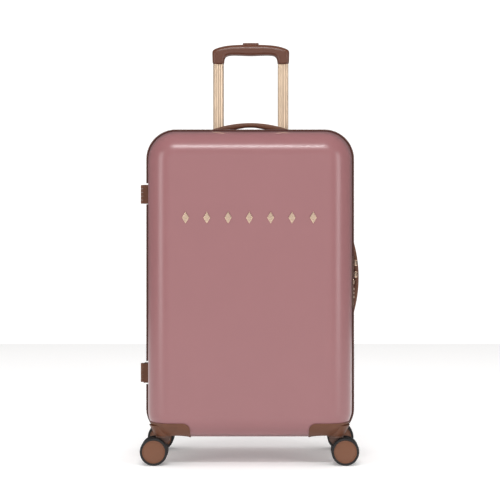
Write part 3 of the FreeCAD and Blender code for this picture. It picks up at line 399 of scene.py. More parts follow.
SLOT_FINISH = {
    "shell": shell_finish,
    "trim": trim_finish,
    "grip": grip_finish,
    "zip_tape": tape_finish,
    "tube": tube_finish,
    "gold": gold_finish,
    "lock_body": lock_finish,
    "dial": dial_finish,
    "steel": steel_finish,
    "lining": lining_finish,
    "strap": strap_finish,
    "structure": black_finish,
    "wheel": tyre_finish,
    "fork": fork_finish,
}
for part in frame["record"]["subparts"]:
    mesh = NODES[part["node"]].data
    mesh.materials.clear()
    mesh.materials.append(SLOT_FINISH[part["material_slot"]])


# ---- the case's outline at any depth ----


def fold_rows(middle, fold, grow, turns):
    """(inset, depth, corner loss) rows round the fold from side to face, and the inset they end at."""
    base = middle * math.tan(DRAFT) - grow + fold / math.cos(DRAFT)
    rows = []
    for i in range(turns + 1):
        turn = DRAFT + (math.pi / 2 - DRAFT) * i / turns
        loss = fold * (1 - math.cos(turn))
        rows.append((base - fold * math.cos(turn), middle + fold * math.sin(turn), loss))
    return rows, base


def case_rows(grow, start):
    """Rows from the seam to the face, for the case grown outwards."""
    roll = ROLL + grow
    middle = DEPTH - ROLL
    meets = middle + roll * math.sin(DRAFT)
    rows = []
    for i in range(6):
        depth = start + (meets - start) * i / 6
        rows.append((depth * math.tan(DRAFT) - grow, depth, 0.0))
    rolled, base = fold_rows(middle, roll, grow, 9)
    rows += rolled
    for extra in (0.004, 0.020, 0.060):
        rows.append((base + extra, DEPTH + grow, roll + extra))
    return rows


def case_corners(inset=0.0, grow=0.0, loss=0.0):
    """(x, z, radius, first angle) of the outline's corners, anticlockwise from the top right."""
    half = HALF_WIDTH - inset
    low = BOTTOM + inset
    high = TOP - inset
    top = max(CORNER_TOP + grow - loss, LEAST_RADIUS)
    bottom = max(CORNER_BOTTOM + grow - loss, LEAST_RADIUS)
    return (
        (half - top, high - top, top, 0.0),
        (-half + top, high - top, top, 90.0),
        (-half + bottom, low + bottom, bottom, 180.0),
        (half - bottom, low + bottom, bottom, 270.0),
    )


def case_loop(row, side, grow=0.0, per_edge=1):
    """Points round the case at one row, from the top right. Side: -1 is the lid, 1 the base."""
    inset, depth, loss = row
    arcs = []
    for x, z, radius, first in case_corners(inset, grow, loss):
        turns = [math.radians(first + 90.0 * i / PER_CORNER) for i in range(PER_CORNER + 1)]
        arcs.append(
            [Vector((x + radius * math.cos(t), side * depth, z + radius * math.sin(t))) for t in turns]
        )
    loop = []
    for arc, after in zip(arcs, arcs[1:] + arcs[:1]):
        loop.extend(arc)
        loop.extend(arc[-1].lerp(after[0], i / per_edge) for i in range(1, per_edge))
    return loop


def case_solid(name, side, grow, start):
    """The case half as one closed form."""
    return loft(name, [case_loop(row, side, grow) for row in case_rows(grow, start)])


# ---- the two half shells ----

WELL_RADIUS = 0.052
WELL_ROOF = 0.0595
BUSH_RADIUS = 0.009
BUSH_TOP = 0.09
SEAM_OVERLAP = 0.002
PAST_SIDE = 0.23
CASTERS = ("front_left", "front_right", "rear_left", "rear_right")
SWIVELS = {corner: Vector(JOINTS[f"swivel_{corner}"]["pos_m"]) for corner in CASTERS}


def upright_cylinder(name, centre, radius, low, high, turns=64):
    steps = [2 * math.pi * i / turns for i in range(turns)]
    ring = [(centre.x + radius * math.cos(turn), centre.y + radius * math.sin(turn)) for turn in steps]
    loops = [[Vector((x, y, z)) for x, y in ring] for z in (low, high)]
    return loft(name, loops)


def half_shell(name, side, corners, extra_cutters):
    """One moulded half: the outer form, less the hollow, the caster wells and any cut-outs."""
    outer = case_solid(name, side, 0.0, SEAM_GAP)
    hollow = case_solid("hollow", side, -WALL, -SEAM_OVERLAP)
    places = [SWIVELS[corner] for corner in corners]
    domes = [upright_cylinder("dome", p, WELL_RADIUS + WALL, 0.0, WELL_ROOF + WALL) for p in places]
    carve(hollow, *domes)
    wells = [upright_cylinder("well", p, WELL_RADIUS, 0.0, WELL_ROOF) for p in places]
    bushes = [upright_cylinder("bush", p, BUSH_RADIUS, 0.0, BUSH_TOP, 32) for p in places]
    carve(outer, hollow, *wells, *bushes, *extra_cutters)
    sharpen(outer)
    half = "front" if side < 0 else "rear"
    return dress(outer, shell_finish, "shell", "lid" if side < 0 else "base", f"{half}_shell")


lock_low, lock_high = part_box("lock_housing")
lock_room = ((lock_low.x - 0.003, lock_low.y, lock_low.z), (PAST_SIDE, lock_high.y, lock_high.z))
lid_cutters = [block("lock_cutter", *lock_room)]
half_shell("lid_shell", -1.0, CASTERS[:2], lid_cutters)

bezel_low, bezel_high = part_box("trolley_bezel")
HANDLE_COLLAR = 0.009
HANDLE_LEG_IN = 0.012
top_low, top_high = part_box("top_handle")
side_low, side_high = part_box("side_handle")
handle_middle_y = (top_low.y + top_high.y) / 2
base_cutters = [block("recess_cutter", bezel_low, (bezel_high.x, 0.2, 0.72))]
for sign in (-1.0, 1.0):
    x = sign * (top_high.x - HANDLE_LEG_IN)
    z = (side_low.z + side_high.z) / 2 + sign * ((side_high.z - side_low.z) / 2 - HANDLE_LEG_IN)
    reach = HANDLE_COLLAR
    y = handle_middle_y
    base_cutters.append(block("top_cutter", (x - reach, y - reach, 0.60), (x + reach, y + reach, 0.70)))
    side_corners = ((0.17, y - reach, z - reach), (PAST_SIDE, y + reach, z + reach))
    base_cutters.append(block("side_cutter", *side_corners))
half_shell("base_shell", 1.0, CASTERS[2:], base_cutters)


# ---- zip tape and coil ----

HINGE_LENGTH = 0.038
hinge_low, hinge_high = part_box("hinge_base_leaves")
HINGE_SPANS = ((hinge_low.z, hinge_low.z + HINGE_LENGTH), (hinge_high.z - HINGE_LENGTH, hinge_high.z))
HINGE_ROOM = 0.0008
TAPE_PITCH = 0.006
TOOTH_PITCH = 0.0024


def seam_route(spacing):
    """(point, outward normal) pairs close together, right round the seam."""
    corners = case_corners()
    stations = []
    for x, z, radius, first in corners[2:] + corners[:2]:
        steps = round(math.pi / 2 * radius / spacing)
        for i in range(steps + 1):
            turn = math.radians(first + 90.0 * i / steps)
            out = Vector((math.cos(turn), 0.0, math.sin(turn)))
            stations.append((Vector((x, 0.0, z)) + out * radius, out))
    route = []
    for (here, out), (there, _) in zip(stations, stations[1:] + stations[:1]):
        route.append((here, out))
        gap = (there - here).length
        extra = int(gap / spacing)
        if gap > 2 * spacing:
            route.extend((here.lerp(there, i / extra), out) for i in range(1, extra))
    return route


def clear_of_hinges(point):
    near_side = point.x < -HALF_WIDTH + 0.002
    beside = any(low - HINGE_ROOM < point.z < high + HINGE_ROOM for low, high in HINGE_SPANS)
    return not (near_side and beside)


def runs(route):
    """Stretches of the route between the hinges."""
    start = next(i for i, (p, _) in enumerate(route) if not clear_of_hinges(p))
    turned = route[start:] + route[:start]
    stretches, current = [], []
    for station in turned:
        if clear_of_hinges(station[0]):
            current.append(station)
        elif current:
            stretches.append(current)
            current = []
    if current:
        stretches.append(current)
    return stretches


TOOTH_SECTION = (
    (0.0004, 0.0015, 0.0008), (0.0030, 0.0015, 0.0008), (0.0028, 0.0034, 0.0007),
    (0.0024, 0.0042, 0.0004), (0.0008, 0.0042, 0.0004), (0.0004, 0.0034, 0.0007),
)
TAPE_SECTION = (
    (0.0003, -0.0004), (0.0003, 0.0016), (0.0010, 0.0021), (0.0030, 0.0024), (0.0048, 0.0023),
    (0.0054, 0.0023), (0.0058, 0.0029), (0.0066, 0.0031), (0.0074, 0.0028), (0.0079, 0.0020),
    (0.0080, 0.0006), (0.0080, -0.0004),
)


def zip_half(side, body):
    """The woven tape with its piped edge, and the coil's teeth beside the seam."""
    label = "lid" if side < 0 else "base"
    tapes = []
    for number, stretch in enumerate(runs(seam_route(TAPE_PITCH))):
        loops = []
        for p, out in stretch:
            loops.append([Vector((p.x, side * y, p.z)) + out * rise for y, rise in TAPE_SECTION])
        tapes.append(loft(f"tape_{label}_{number}", loops))
    tape = join(f"zip_tape_{label}", tapes)
    sharpen(tape, 50.0)
    dress(tape, tape_finish, "zip_tape", body, f"{'front' if side < 0 else 'rear'}_zip_tape")
    points, faces = [], []
    for stretch in runs(seam_route(TOOTH_PITCH)):
        for p, out in stretch[1:-1]:
            along = Vector((-out.z, 0.0, out.x))
            first = len(points)
            for y, rise, half in TOOTH_SECTION:
                centre = Vector((p.x, side * y, p.z)) + out * rise
                points.append(centre - along * half)
                points.append(centre + along * half)
            ring = list(range(first, first + 12, 2))
            far = [k + 1 for k in ring]
            faces.append(tuple(ring))
            faces.append(tuple(reversed(far)))
            for k in range(6):
                n = (k + 1) % 6
                faces.append((ring[k], far[k], far[n], ring[n]))
    coil = mesh_object(f"zip_coil_{label}", points, faces)
    sharpen(coil, 50.0)
    dress(coil, coil_finish, "zip_tape", body)


zip_half(-1.0, "lid")
zip_half(1.0, "base")


# ---- wheels: a tyre and a hub each ----

TYRE_SECTION = (
    (0.0213, 0.0006), (0.0250, 0.0003), (0.0263, 0.0011), (0.0269, 0.0025), (0.0270, 0.0043),
    (0.0270, 0.0071), (0.0266, 0.0075), (0.0266, 0.0083), (0.0270, 0.0087), (0.0270, 0.0122),
    (0.0269, 0.0140), (0.0263, 0.0153), (0.0250, 0.0159), (0.0229, 0.0158), (0.0224, 0.0149),
    (0.0213, 0.0146),
)
HUB_SECTION = (
    (0.0003, 0.0142), (0.00305, 0.0141), (0.00305, 0.0004), (0.0060, 0.0002), (0.0066, 0.0012),
    (0.0180, 0.0016), (0.0190, 0.0008), (0.0212, 0.0008), (0.0213, 0.0020), (0.0213, 0.0140),
    (0.0223, 0.0147), (0.0222, 0.0152), (0.0216, 0.0155), (0.0208, 0.0154), (0.0204, 0.0146),
    (0.0196, 0.0146), (0.0170, 0.0154), (0.0130, 0.0162), (0.0085, 0.0167), (0.0040, 0.0169),
    (0.0003, 0.0170),
)
for corner in CASTERS:
    caster_y = SWIVELS[corner].y
    for place in ("inner", "outer"):
        node = f"wheel_{corner}_{place}"
        body = f"{place}_wheel_{corner}"
        low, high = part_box(node)
        side = 1.0 if (low.y + high.y) / 2 > caster_y else -1.0
        inner_face = low.y if side > 0 else high.y
        centre = Vector(((low.x + high.x) / 2, inner_face, (low.z + high.z) / 2))
        hub = lathe(f"hub_{corner}_{place}", HUB_SECTION, centre, side)
        sharpen(hub, 40.0)
        dress(hub, disc_finish, "wheel", body)
        rings = lathe(f"tyre_{corner}_{place}", TYRE_SECTION, centre, side)
        made = bmesh.new()
        made.from_mesh(rings.data)
        caps = [face for face in made.faces if len(face.verts) > 4]
        bmesh.ops.delete(made, geom=caps, context="FACES_ONLY")
        open_edges = [edge for edge in made.edges if edge.is_boundary]
        bmesh.ops.bridge_loops(made, edges=open_edges)
        bmesh.ops.recalc_face_normals(made, faces=made.faces)
        made.to_mesh(rings.data)
        made.free()
        sharpen(rings, 40.0)
        dress(rings, tyre_finish, "wheel", body, node)


# ---- carry handles: a wrapped arch with two stitched rows, on moulded legs ----

STITCH_PITCH = 0.0046
STITCH_LENGTH = 0.0030
STITCH_RADIUS = 0.00035
STITCH_INSET = 0.0036
STITCHED_SHARE = 0.92
# the share of the arc the wrap covers, its crown across, and how much fuller it is off the middle
WRAP_SHARE = 0.965
WRAP_CROWN = 0.0009
WRAP_FULLER = 0.0018
thread_finish = woven("thread_brown", (0.230, 0.120, 0.080), 900.0, 0.3, 0.7, relief=0.00005)


def stitch(name, centre, along, up):
    """One short raised thread that dips into the surface at both ends."""
    across = up.cross(along).normalized()
    loops = []
    for k in range(5):
        t = k / 4 * 2 - 1
        lift = STITCH_RADIUS * (0.9 * (1 - t * t) - 0.2)
        middle = centre + along * (t * STITCH_LENGTH / 2) + up * lift
        radius = STITCH_RADIUS * (1 - 0.5 * t * t)
        loop = []
        for i in range(6):
            turn = math.pi * i / 3
            loop.append(middle + across * (radius * math.cos(turn)) + up * (radius * math.sin(turn)))
        loops.append(loop)
    return loft(name, loops)


def carry_handle(kind, body, rise, thickness):
    """The wrapped arch. Along is the handle's length, across is y and up points out of the case."""
    low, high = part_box(f"{kind}_handle")
    on_top = kind == "top"
    peak = high.z if on_top else high.x
    ends = (low.x, high.x) if on_top else (low.z, high.z)
    middle = (ends[0] + ends[1]) / 2
    half = (ends[1] - ends[0]) / 2
    seat = peak - rise
    radius = (half * half + rise * rise) / (2 * rise)
    across = (low.y + high.y) / 2
    width = (high.y - low.y) / 2

    def place(along, up, y):
        return Vector((middle + along, y, up)) if on_top else Vector((up, y, middle + along))

    last = math.asin(half / radius)
    stations = 48
    loops = []
    for i in range(stations + 1):
        turn = (-last + 2 * last * i / stations) * WRAP_SHARE
        out = Vector((math.sin(turn), math.cos(turn)))
        top = out * radius
        height = peak - radius + top.y
        fuller = max(0.0, min(1.0, (abs(top.x) - 0.010) / 0.020))
        depth = min(thickness + WRAP_FULLER * fuller, (height - seat) / out.y)
        blunt = min(1.0, (last * WRAP_SHARE - abs(turn)) / 0.02 + 0.55)
        loop = []
        for k in range(24):
            angle = 2 * math.pi * k / 24
            c, s = math.cos(angle), math.sin(angle)
            y = across + width * math.copysign(abs(c) ** 0.35, c) * (0.93 + 0.07 * blunt)
            crown = WRAP_CROWN * (1 - c * c)
            lift = math.copysign(abs(s) ** 0.5, s)
            drop = depth * (0.5 - 0.5 * lift) + (WRAP_CROWN - crown if s > 0 else 0.0)
            point = top - out * drop
            loop.append(place(point.x, peak - radius + point.y, y))
        loops.append(loop)
    arch = loft(f"{kind}_handle_wrap", loops)
    dress(arch, trim_finish, "trim", body, f"{kind}_handle")
    stitches = []
    count = int(2 * last * radius * STITCHED_SHARE / STITCH_PITCH)
    for row in (-1.0, 1.0):
        for i in range(count + 1):
            turn = (i / count * 2 - 1) * last * STITCHED_SHARE
            out = Vector((math.sin(turn), math.cos(turn)))
            top = out * (radius - WRAP_CROWN)
            centre = place(top.x, peak - radius + top.y, across + row * (width - STITCH_INSET))
            ahead = place(math.cos(turn), -math.sin(turn), 0.0) - place(0.0, 0.0, 0.0)
            up = place(out.x, out.y, 0.0) - place(0.0, 0.0, 0.0)
            stitches.append(stitch(f"{kind}_stitch_{i}_{int(row)}", centre, ahead, up))
    dress(join(f"{kind}_handle_stitching", stitches), thread_finish, "trim", body)
    foot_top = (low.z if on_top else low.x) + 0.004
    legs = []
    for sign in (-1.0, 1.0):
        mid = sign * (half - HANDLE_LEG_IN)
        for name, reach, span in (
            ("leg", 0.006, (foot_top - 0.0005, seat + 0.0010)),
            ("foot", 0.008, (foot_top - 0.004, foot_top)),
        ):
            a = place(mid - reach, span[0], across - reach)
            b = place(mid + reach, span[1], across + reach)
            corner_low = Vector(min(a[k], b[k]) for k in range(3))
            corner_high = Vector(max(a[k], b[k]) for k in range(3))
            legs.append(block(f"{kind}_{name}", corner_low, corner_high, 0.0008, 2))
    dress(join(f"{kind}_handle_legs", legs), black_finish, "structure", body)


carry_handle("top", "top_carry_handle", 0.0165, 0.009)
carry_handle("side", "side_carry_handle", 0.0125, 0.0096)


# ---- plain studs on the front ----

stud_low, stud_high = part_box("front_studs")
STUD_COUNT = 7
STUD_WIDTH = 0.014
LOZENGE = (
    (1.0, 0.0), (0.5, 0.5), (0.0, 1.0), (-0.5, 0.5), (-1.0, 0.0), (-0.5, -0.5), (0.0, -1.0),
    (0.5, -0.5),
)
STUD_EDGE = ((0.0, 0.0), (0.0, -0.0008), (0.0005, -0.0013), (0.0011, -0.0015), (0.0045, -0.0015))
stud_height = stud_high.z - stud_low.z
stud_pitch = (stud_high.x - stud_low.x - STUD_WIDTH) / (STUD_COUNT - 1)
studs = []
for i in range(STUD_COUNT):
    x = stud_low.x + STUD_WIDTH / 2 + i * stud_pitch
    z = (stud_low.z + stud_high.z) / 2
    loops = []
    for inset, y in STUD_EDGE:
        wide = STUD_WIDTH / 2 - inset
        tall = stud_height / 2 - inset * stud_height / STUD_WIDTH
        loops.append([Vector((x + wide * cx, stud_high.y + y, z + tall * cz)) for cx, cz in LOZENGE])
    studs.append(loft(f"stud_{i}", loops))
stud_row = join("front_stud_row", studs)
sharpen(stud_row, 20.0)
dress(stud_row, gold_finish, "gold", "lid", "front_studs")


# ---- cloth: linings, the lid divider and the packing straps ----

CLOTH = 0.0006
CELL = 0.008
RIM_START, RIM_CELL, RIM_DEPTH, SIDE_CELL = 0.005, 0.003, 0.018, 0.006
MIDDLE_GAP = 0.0005
LINING_GAP = 0.0012
HEM_WIDTH, HEM_DEPTH = 0.009, 0.0042
HEM_SECTION = (
    (0.0004, 0.0), (-0.0012, -0.0002), (-0.0018, 0.0010),
    (-0.0018, HEM_WIDTH - 0.001), (-0.0012, HEM_WIDTH), (0.0004, HEM_WIDTH - 0.001),
)
# the creases' lean in radians and the distance between their crests
CREASES = ((0.35, 0.052), (-0.50, 0.064), (1.25, 0.085))
LINING_CREASE, DIVIDER_CREASE = 0.0028, 0.0040
# how steeply a bulge over hardware falls away: beside it, towards the rim and round a kingpin's nut
BULGE_FALL, RIM_FALL, NUT_FALL = 1.6, 3.0, 2.2
# how far cloth keeps from hardware
LEG_ROOM, CLOTH_ROOM, BEZEL_ROOM = 0.004, 0.002, 0.0016
WELL_ROOM, ROOF_ROOM = 0.005, 0.0014
NUT_REACH, NUT_ROOM = 0.0265, 0.0030


def tray_rows(grow, start, panel, fold):
    """Rows like case_rows, close together for cloth, with their own fold before a flat panel."""
    middle = panel - fold
    meets = middle + fold * math.sin(DRAFT)
    rows = []
    depth = start
    while depth < meets - CELL / 3:
        rows.append((depth * math.tan(DRAFT) - grow, depth, 0.0))
        depth += RIM_CELL if depth < RIM_DEPTH else SIDE_CELL
    folded, base = fold_rows(middle, fold, grow, max(4, round(fold * 1.5 / CELL)))
    rows += folded
    extra = CELL
    while base + extra < HALF_WIDTH - CELL / 2:
        rows.append((base + extra, panel, fold + extra))
        extra += CELL
    rows.append((HALF_WIDTH - MIDDLE_GAP, panel, fold + extra))
    return rows


def outside(value, low, high):
    """How far a value is from a span, or 0 inside it."""
    return max(low - value, value - high, 0.0)


def pushed_in(point, side):
    """A point of a lining, moved inwards to clear the casters, lock, trolley and handle feet."""
    x, y, z = point
    for corner in CASTERS[:2] if side < 0 else CASTERS[2:]:
        swivel = SWIVELS[corner]
        away = math.hypot(x - swivel.x, y - swivel.y)
        past_well = max(0.0, away - WELL_RADIUS - WALL - WELL_ROOM)
        z = max(z, WELL_ROOF + WALL + ROOF_ROOM - BULGE_FALL * past_well)
        z = max(z, caster_top + NUT_ROOM - NUT_FALL * max(0.0, away - NUT_REACH))
    if side > 0:
        away = math.hypot(outside(x, bezel_low.x, bezel_high.x), outside(z, bezel_low.z, 1.0))
        y = min(y, bezel_low.y - BEZEL_ROOM + BULGE_FALL * max(0.0, away - 0.002))
        steep = RIM_FALL * outside(y, *leg_span)
        away = math.hypot(outside(x, top_low.x - LEG_ROOM, top_high.x + LEG_ROOM), steep)
        z = min(z, top_low.z - CLOTH_ROOM + BULGE_FALL * away)
        away = math.hypot(outside(z, side_low.z - LEG_ROOM, side_high.z + LEG_ROOM), steep)
        x = min(x, side_low.x - CLOTH_ROOM + BULGE_FALL * away)
    else:
        steep = RIM_FALL * outside(y, lock_low.y, lock_high.y)
        away = math.hypot(outside(z, lock_low.z, lock_high.z), steep)
        x = min(x, lock_low.x - CLOTH_ROOM + BULGE_FALL * away)
    return Vector((x, y, z))


def creased(obj, towards, depth, seed, held):
    """Push cloth towards the inside in soft creases, less where held(point) is near 0."""
    made = bmesh.new()
    made.from_mesh(obj.data)
    made.normal_update()
    shift = Vector((seed * 3.1, seed * 1.7, seed * 0.9))
    moves = []
    for vertex in made.verts:
        place = vertex.co
        normal = vertex.normal if vertex.normal.dot(towards - place) > 0 else -vertex.normal
        push = 0.0
        for number, (lean, every) in enumerate(CREASES):
            own = shift + Vector((number * 5.3, 0.0, number * 2.1))
            across = place.x * math.cos(lean) + place.z * math.sin(lean) + place.y * 0.7
            bend = 0.020 * noise.noise(place * 6.0 + own)
            present = max(0.0, noise.noise(place * 4.5 + own * 2.0) + 0.10)
            crest = 0.5 + 0.5 * math.sin(2 * math.pi * (across + bend) / every + number)
            push += 1.5 * min(0.6, present) * crest**4
        push += 0.35 * max(0.0, noise.noise(place * 7.0 + shift) + 0.3)
        moves.append(normal * (depth * min(1.0, push) * held(place)))
    for vertex, move in zip(made.verts, moves):
        vertex.co += move
    made.to_mesh(obj.data)
    made.free()


def closed_flat(obj, last):
    """Close the last loop of a tray or panel onto its middle line, with every face turned one way."""
    made = bmesh.new()
    made.from_mesh(obj.data)
    made.verts.ensure_lookup_table()
    for vertex in made.verts[-last:]:
        vertex.co.x = 0.0
    bmesh.ops.remove_doubles(made, verts=made.verts, dist=0.0007)
    bmesh.ops.dissolve_degenerate(made, edges=made.edges, dist=0.0003)
    bmesh.ops.recalc_face_normals(made, faces=made.faces)
    made.to_mesh(obj.data)
    made.free()


def band(name, loop, section):
    """A flat strip along (point, outward, depth) frames. Section pairs run outwards and in depth."""
    loops = []
    for point, out, deep in loop:
        loops.append([point + out * rise + deep * run for rise, run in section])
    return loft(name, loops, joined=True)


def rim_frames(row, side, grow=0.0):
    """The loop at one row with its outward directions, for bindings and zips that run round it."""
    here = case_loop(row, side, per_edge=40)
    frames = []
    for i, point in enumerate(here):
        ahead = (here[(i + 1) % len(here)] - here[i - 1]).normalized()
        out = Vector((ahead.z, 0.0, -ahead.x))
        if out.dot(point - HEART) < 0:
            out = -out
        frames.append((point + out * grow, out, Vector((0.0, side, 0.0))))
    return frames


def lining(label, side, panel, fold, node, body, seed):
    """One cloth tray with its bound edge."""
    grow = -(WALL + LINING_GAP)
    rows = tray_rows(grow, RIM_START, panel, fold)
    loops = []
    for row in rows:
        loops.append([pushed_in(point, side) for point in case_loop(row, side, grow, per_edge=64)])
    cloth = loft(f"{label}_lining", loops, True, False)
    closed_flat(cloth, len(loops[-1]))
    inside = HEART + Vector((0.0, side * 0.03, 0.0))

    def held(point):
        from_rim = (abs(point.y) - 0.006) / 0.02
        return max(0.0, min(1.0, from_rim))

    creased(cloth, inside, LINING_CREASE, seed, held)
    solidify(cloth, CLOTH)
    dress(cloth, lining_finish, "lining", body, node)
    rim = rim_frames((HEM_DEPTH - grow, HEM_DEPTH, 0.0), side, 0.0038)
    hem = band(f"{label}_lining_binding", rim, HEM_SECTION)
    sharpen(hem, 50.0)
    dress(hem, strap_finish, "strap", body)


caster_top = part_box("caster_pins_rear_right")[1].z
leg_span = (top_low.y - 0.001, top_high.y + 0.001)
base_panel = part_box("rear_lining")[1].y - 0.0011
lining("base", 1.0, base_panel, 0.006, "rear_lining", "base", 1.0)
lining("lid", -1.0, DEPTH - WALL - LINING_GAP, ROLL - WALL - LINING_GAP, "front_lining", "lid", 2.0)


# ---- lid divider: a zipped panel with its own coil ----

DIVIDER_EDGE = 0.0062
DIVIDER_ZIP_INSET = 0.026
divider_low, divider_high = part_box("lid_divider")
divider_depth = -(divider_low.y + divider_high.y) / 2
divider_rows = []
inset = DIVIDER_EDGE
while inset < HALF_WIDTH - CELL / 2:
    divider_rows.append((inset, divider_depth, max(0.0, inset - DIVIDER_EDGE)))
    inset += CELL
divider_rows.append((HALF_WIDTH - MIDDLE_GAP, divider_depth, inset))


def beside_lock(point):
    """A point of the divider, kept inside the lock housing."""
    limit = lock_low.x - 0.0025 + 5.0 * outside(point.z, lock_low.z, lock_high.z)
    return Vector((min(point.x, limit), point.y, point.z))


divider_loops = [[beside_lock(p) for p in case_loop(row, -1.0, per_edge=64)] for row in divider_rows]
divider = loft("lid_divider_panel", divider_loops, True, False)
closed_flat(divider, len(divider_loops[-1]))


def divider_held(point):
    edge = min(HALF_WIDTH - abs(point.x), TOP - point.z, point.z - BOTTOM)
    return max(0.0, min(1.0, (edge - DIVIDER_ZIP_INSET - 0.006) / 0.05))


creased(divider, HEART - Vector((0.0, 0.2, 0.0)), DIVIDER_CREASE, 5.0, divider_held)
solidify(divider, CLOTH)
dress(divider, lining_finish, "lining", "lid", "lid_divider")

zip_row = (DIVIDER_ZIP_INSET, divider_depth, DIVIDER_ZIP_INSET - DIVIDER_EDGE)
zip_frames = rim_frames(zip_row, -1.0)
divider_tape = band(
    "lid_divider_zip_tape",
    zip_frames,
    ((-0.008, -0.0004), (-0.008, -0.0010), (0.0, -0.0013), (0.008, -0.0010), (0.008, -0.0004)),
)
dress(divider_tape, tape_finish, "zip_tape", "lid")
teeth = []
TEETH_EVERY = 0.0022
TOOTH_FACES = ((0, 2, 3, 1), (2, 4, 5, 3), (4, 6, 7, 5), (0, 1, 7, 6), (0, 6, 4, 2), (1, 3, 5, 7))
walked = 0.0
for (here, out, deep), (there, _, _) in zip(zip_frames, zip_frames[1:] + zip_frames[:1]):
    gap = (there - here).length
    ahead = (there - here) / gap if gap else Vector((0.0, 0.0, 1.0))
    while walked < gap:
        teeth.append((here + ahead * walked, out, ahead))
        walked += TEETH_EVERY
    walked -= gap
points, faces = [], []
for number, (centre, out, ahead) in enumerate(teeth):
    first = len(points)
    lean = 0.0006 if number % 2 else -0.0006
    for reach, lift in ((-0.0019, 0.0011), (-0.0015, 0.0021), (0.0015, 0.0021), (0.0019, 0.0011)):
        for half in (-0.0006, 0.0006):
            points.append(centre + out * (reach + lean) + ahead * half + Vector((0.0, lift, 0.0)))
    faces.extend([first + corner for corner in face] for face in TOOTH_FACES)
divider_coil = mesh_object("lid_divider_zip_coil", points, faces)
sharpen(divider_coil, 50.0)
dress(divider_coil, coil_finish, "zip_tape", "lid")


# ---- packing straps: four arms of webbing that meet at a side-release buckle ----

STRAP_WIDTH = 0.030
STRAP_TILT = math.radians(20.0)
WEBBING = 0.0013
buckle_low, buckle_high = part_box("rear_buckle")
buckle_middle = (Vector(buckle_low) + Vector(buckle_high)) / 2
arm_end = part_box("rear_straps")[1].x - 0.0035
arm_start = 0.0185
STRAP_Y = 0.0058
BOX_STITCH = ((-0.010, -0.011), (0.010, -0.011), (0.010, 0.011), (-0.010, 0.011))
for across in (-1.0, 1.0):
    for upward in (-1.0, 1.0):
        ahead = Vector((across * math.cos(STRAP_TILT), 0.0, upward * math.sin(STRAP_TILT)))
        sideways = Vector((-ahead.z, 0.0, ahead.x))
        reach = arm_end / math.cos(STRAP_TILT)
        steps = 60
        loops = []
        for i in range(steps + 1):
            t = i / steps
            along = arm_start + (reach - 0.006 - arm_start) * t
            slack = 0.0022 * math.sin(math.pi * t) * (1.0 + 0.25 * math.sin(7.0 * t + across))
            twist = 0.10 * math.sin(math.pi * t) * across * upward
            narrow = 0.55 + 0.45 * min(1.0, t / 0.16)
            loop = []
            for k in range(9):
                u = (k / 8 - 0.5) * STRAP_WIDTH * narrow
                cup = 0.0004 * (1 - (2 * k / 8 - 1) ** 2)
                point = buckle_middle + ahead * along + sideways * u
                point.y = STRAP_Y + slack * 0.5 + cup + u * math.sin(twist)
                loop.append(point)
            loops.append(loop)
        name = f"strap_arm_{'right' if across > 0 else 'left'}_{'upper' if upward > 0 else 'lower'}"
        arm = loft(name, loops, False, False)
        solidify(arm, WEBBING)
        dress(arm, strap_finish, "strap", "base")
        box_stitches = []
        end = buckle_middle + ahead * (reach - 0.020)
        end.y = STRAP_Y - WEBBING / 2 - 0.0001
        corners = [ahead * a + sideways * s for a, s in BOX_STITCH]
        for a, b in ((0, 1), (1, 2), (2, 3), (3, 0), (0, 2), (1, 3)):
            run = corners[b] - corners[a]
            count = max(2, round(run.length / 0.0036))
            for i in range(count):
                place = end + corners[a] + run * ((i + 0.5) / count)
                thread = f"{name}_stitch_{a}{b}{i}"
                box_stitches.append(stitch(thread, place, run.normalized(), Vector((0.0, -1.0, 0.0))))
        sewing = join(f"{name}_sewing", box_stitches)
        dress(sewing, thread_finish, "strap", "base")
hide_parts("rear_straps")

half_tall = (buckle_high.z - buckle_low.z) / 2


def buckle_block(name, middle_x, middle_z, reach_x, reach_z, front, back, bevel, segments):
    """One moulded part of the buckle, placed about the buckle's middle."""
    low = buckle_middle + Vector((middle_x - reach_x, -front, middle_z - reach_z))
    high = buckle_middle + Vector((middle_x + reach_x, back, middle_z + reach_z))
    return block(name, low, high, bevel, segments)


parts = [
    buckle_block("buckle_plate", 0.0, 0.0, 0.0125, half_tall - 0.002, 0.0023, 0.0023, 0.0016, 4),
    buckle_block("buckle_crest", 0.0, 0.0, 0.0085, 0.010, 0.0030, -0.0015, 0.0012, 3),
]
for across in (-1.0, 1.0):
    x = across * 0.0185
    parts.append(buckle_block("buckle_bar", x, 0.0, 0.0048, half_tall, 0.0020, 0.0020, 0.0015, 4))
    for upward in (-1.0, 1.0):
        spot = (across * 0.009, upward * (half_tall - 0.0035))
        parts.append(buckle_block("buckle_prong", *spot, 0.006, 0.0016, 0.0014, 0.0014, 0.0009, 2))
    for rib in range(4):
        z = -0.006 + rib * 0.004
        parts.append(buckle_block("buckle_rib", x, z, 0.0030, 0.0006, 0.0024, -0.0016, 0.0003, 2))
buckle = join("buckle_body", parts)
sharpen(buckle, 40.0)
dress(buckle, black_finish, "structure", "base", "rear_buckle")


# ---- trolley: fluted inner tubes and the moulded grip ----

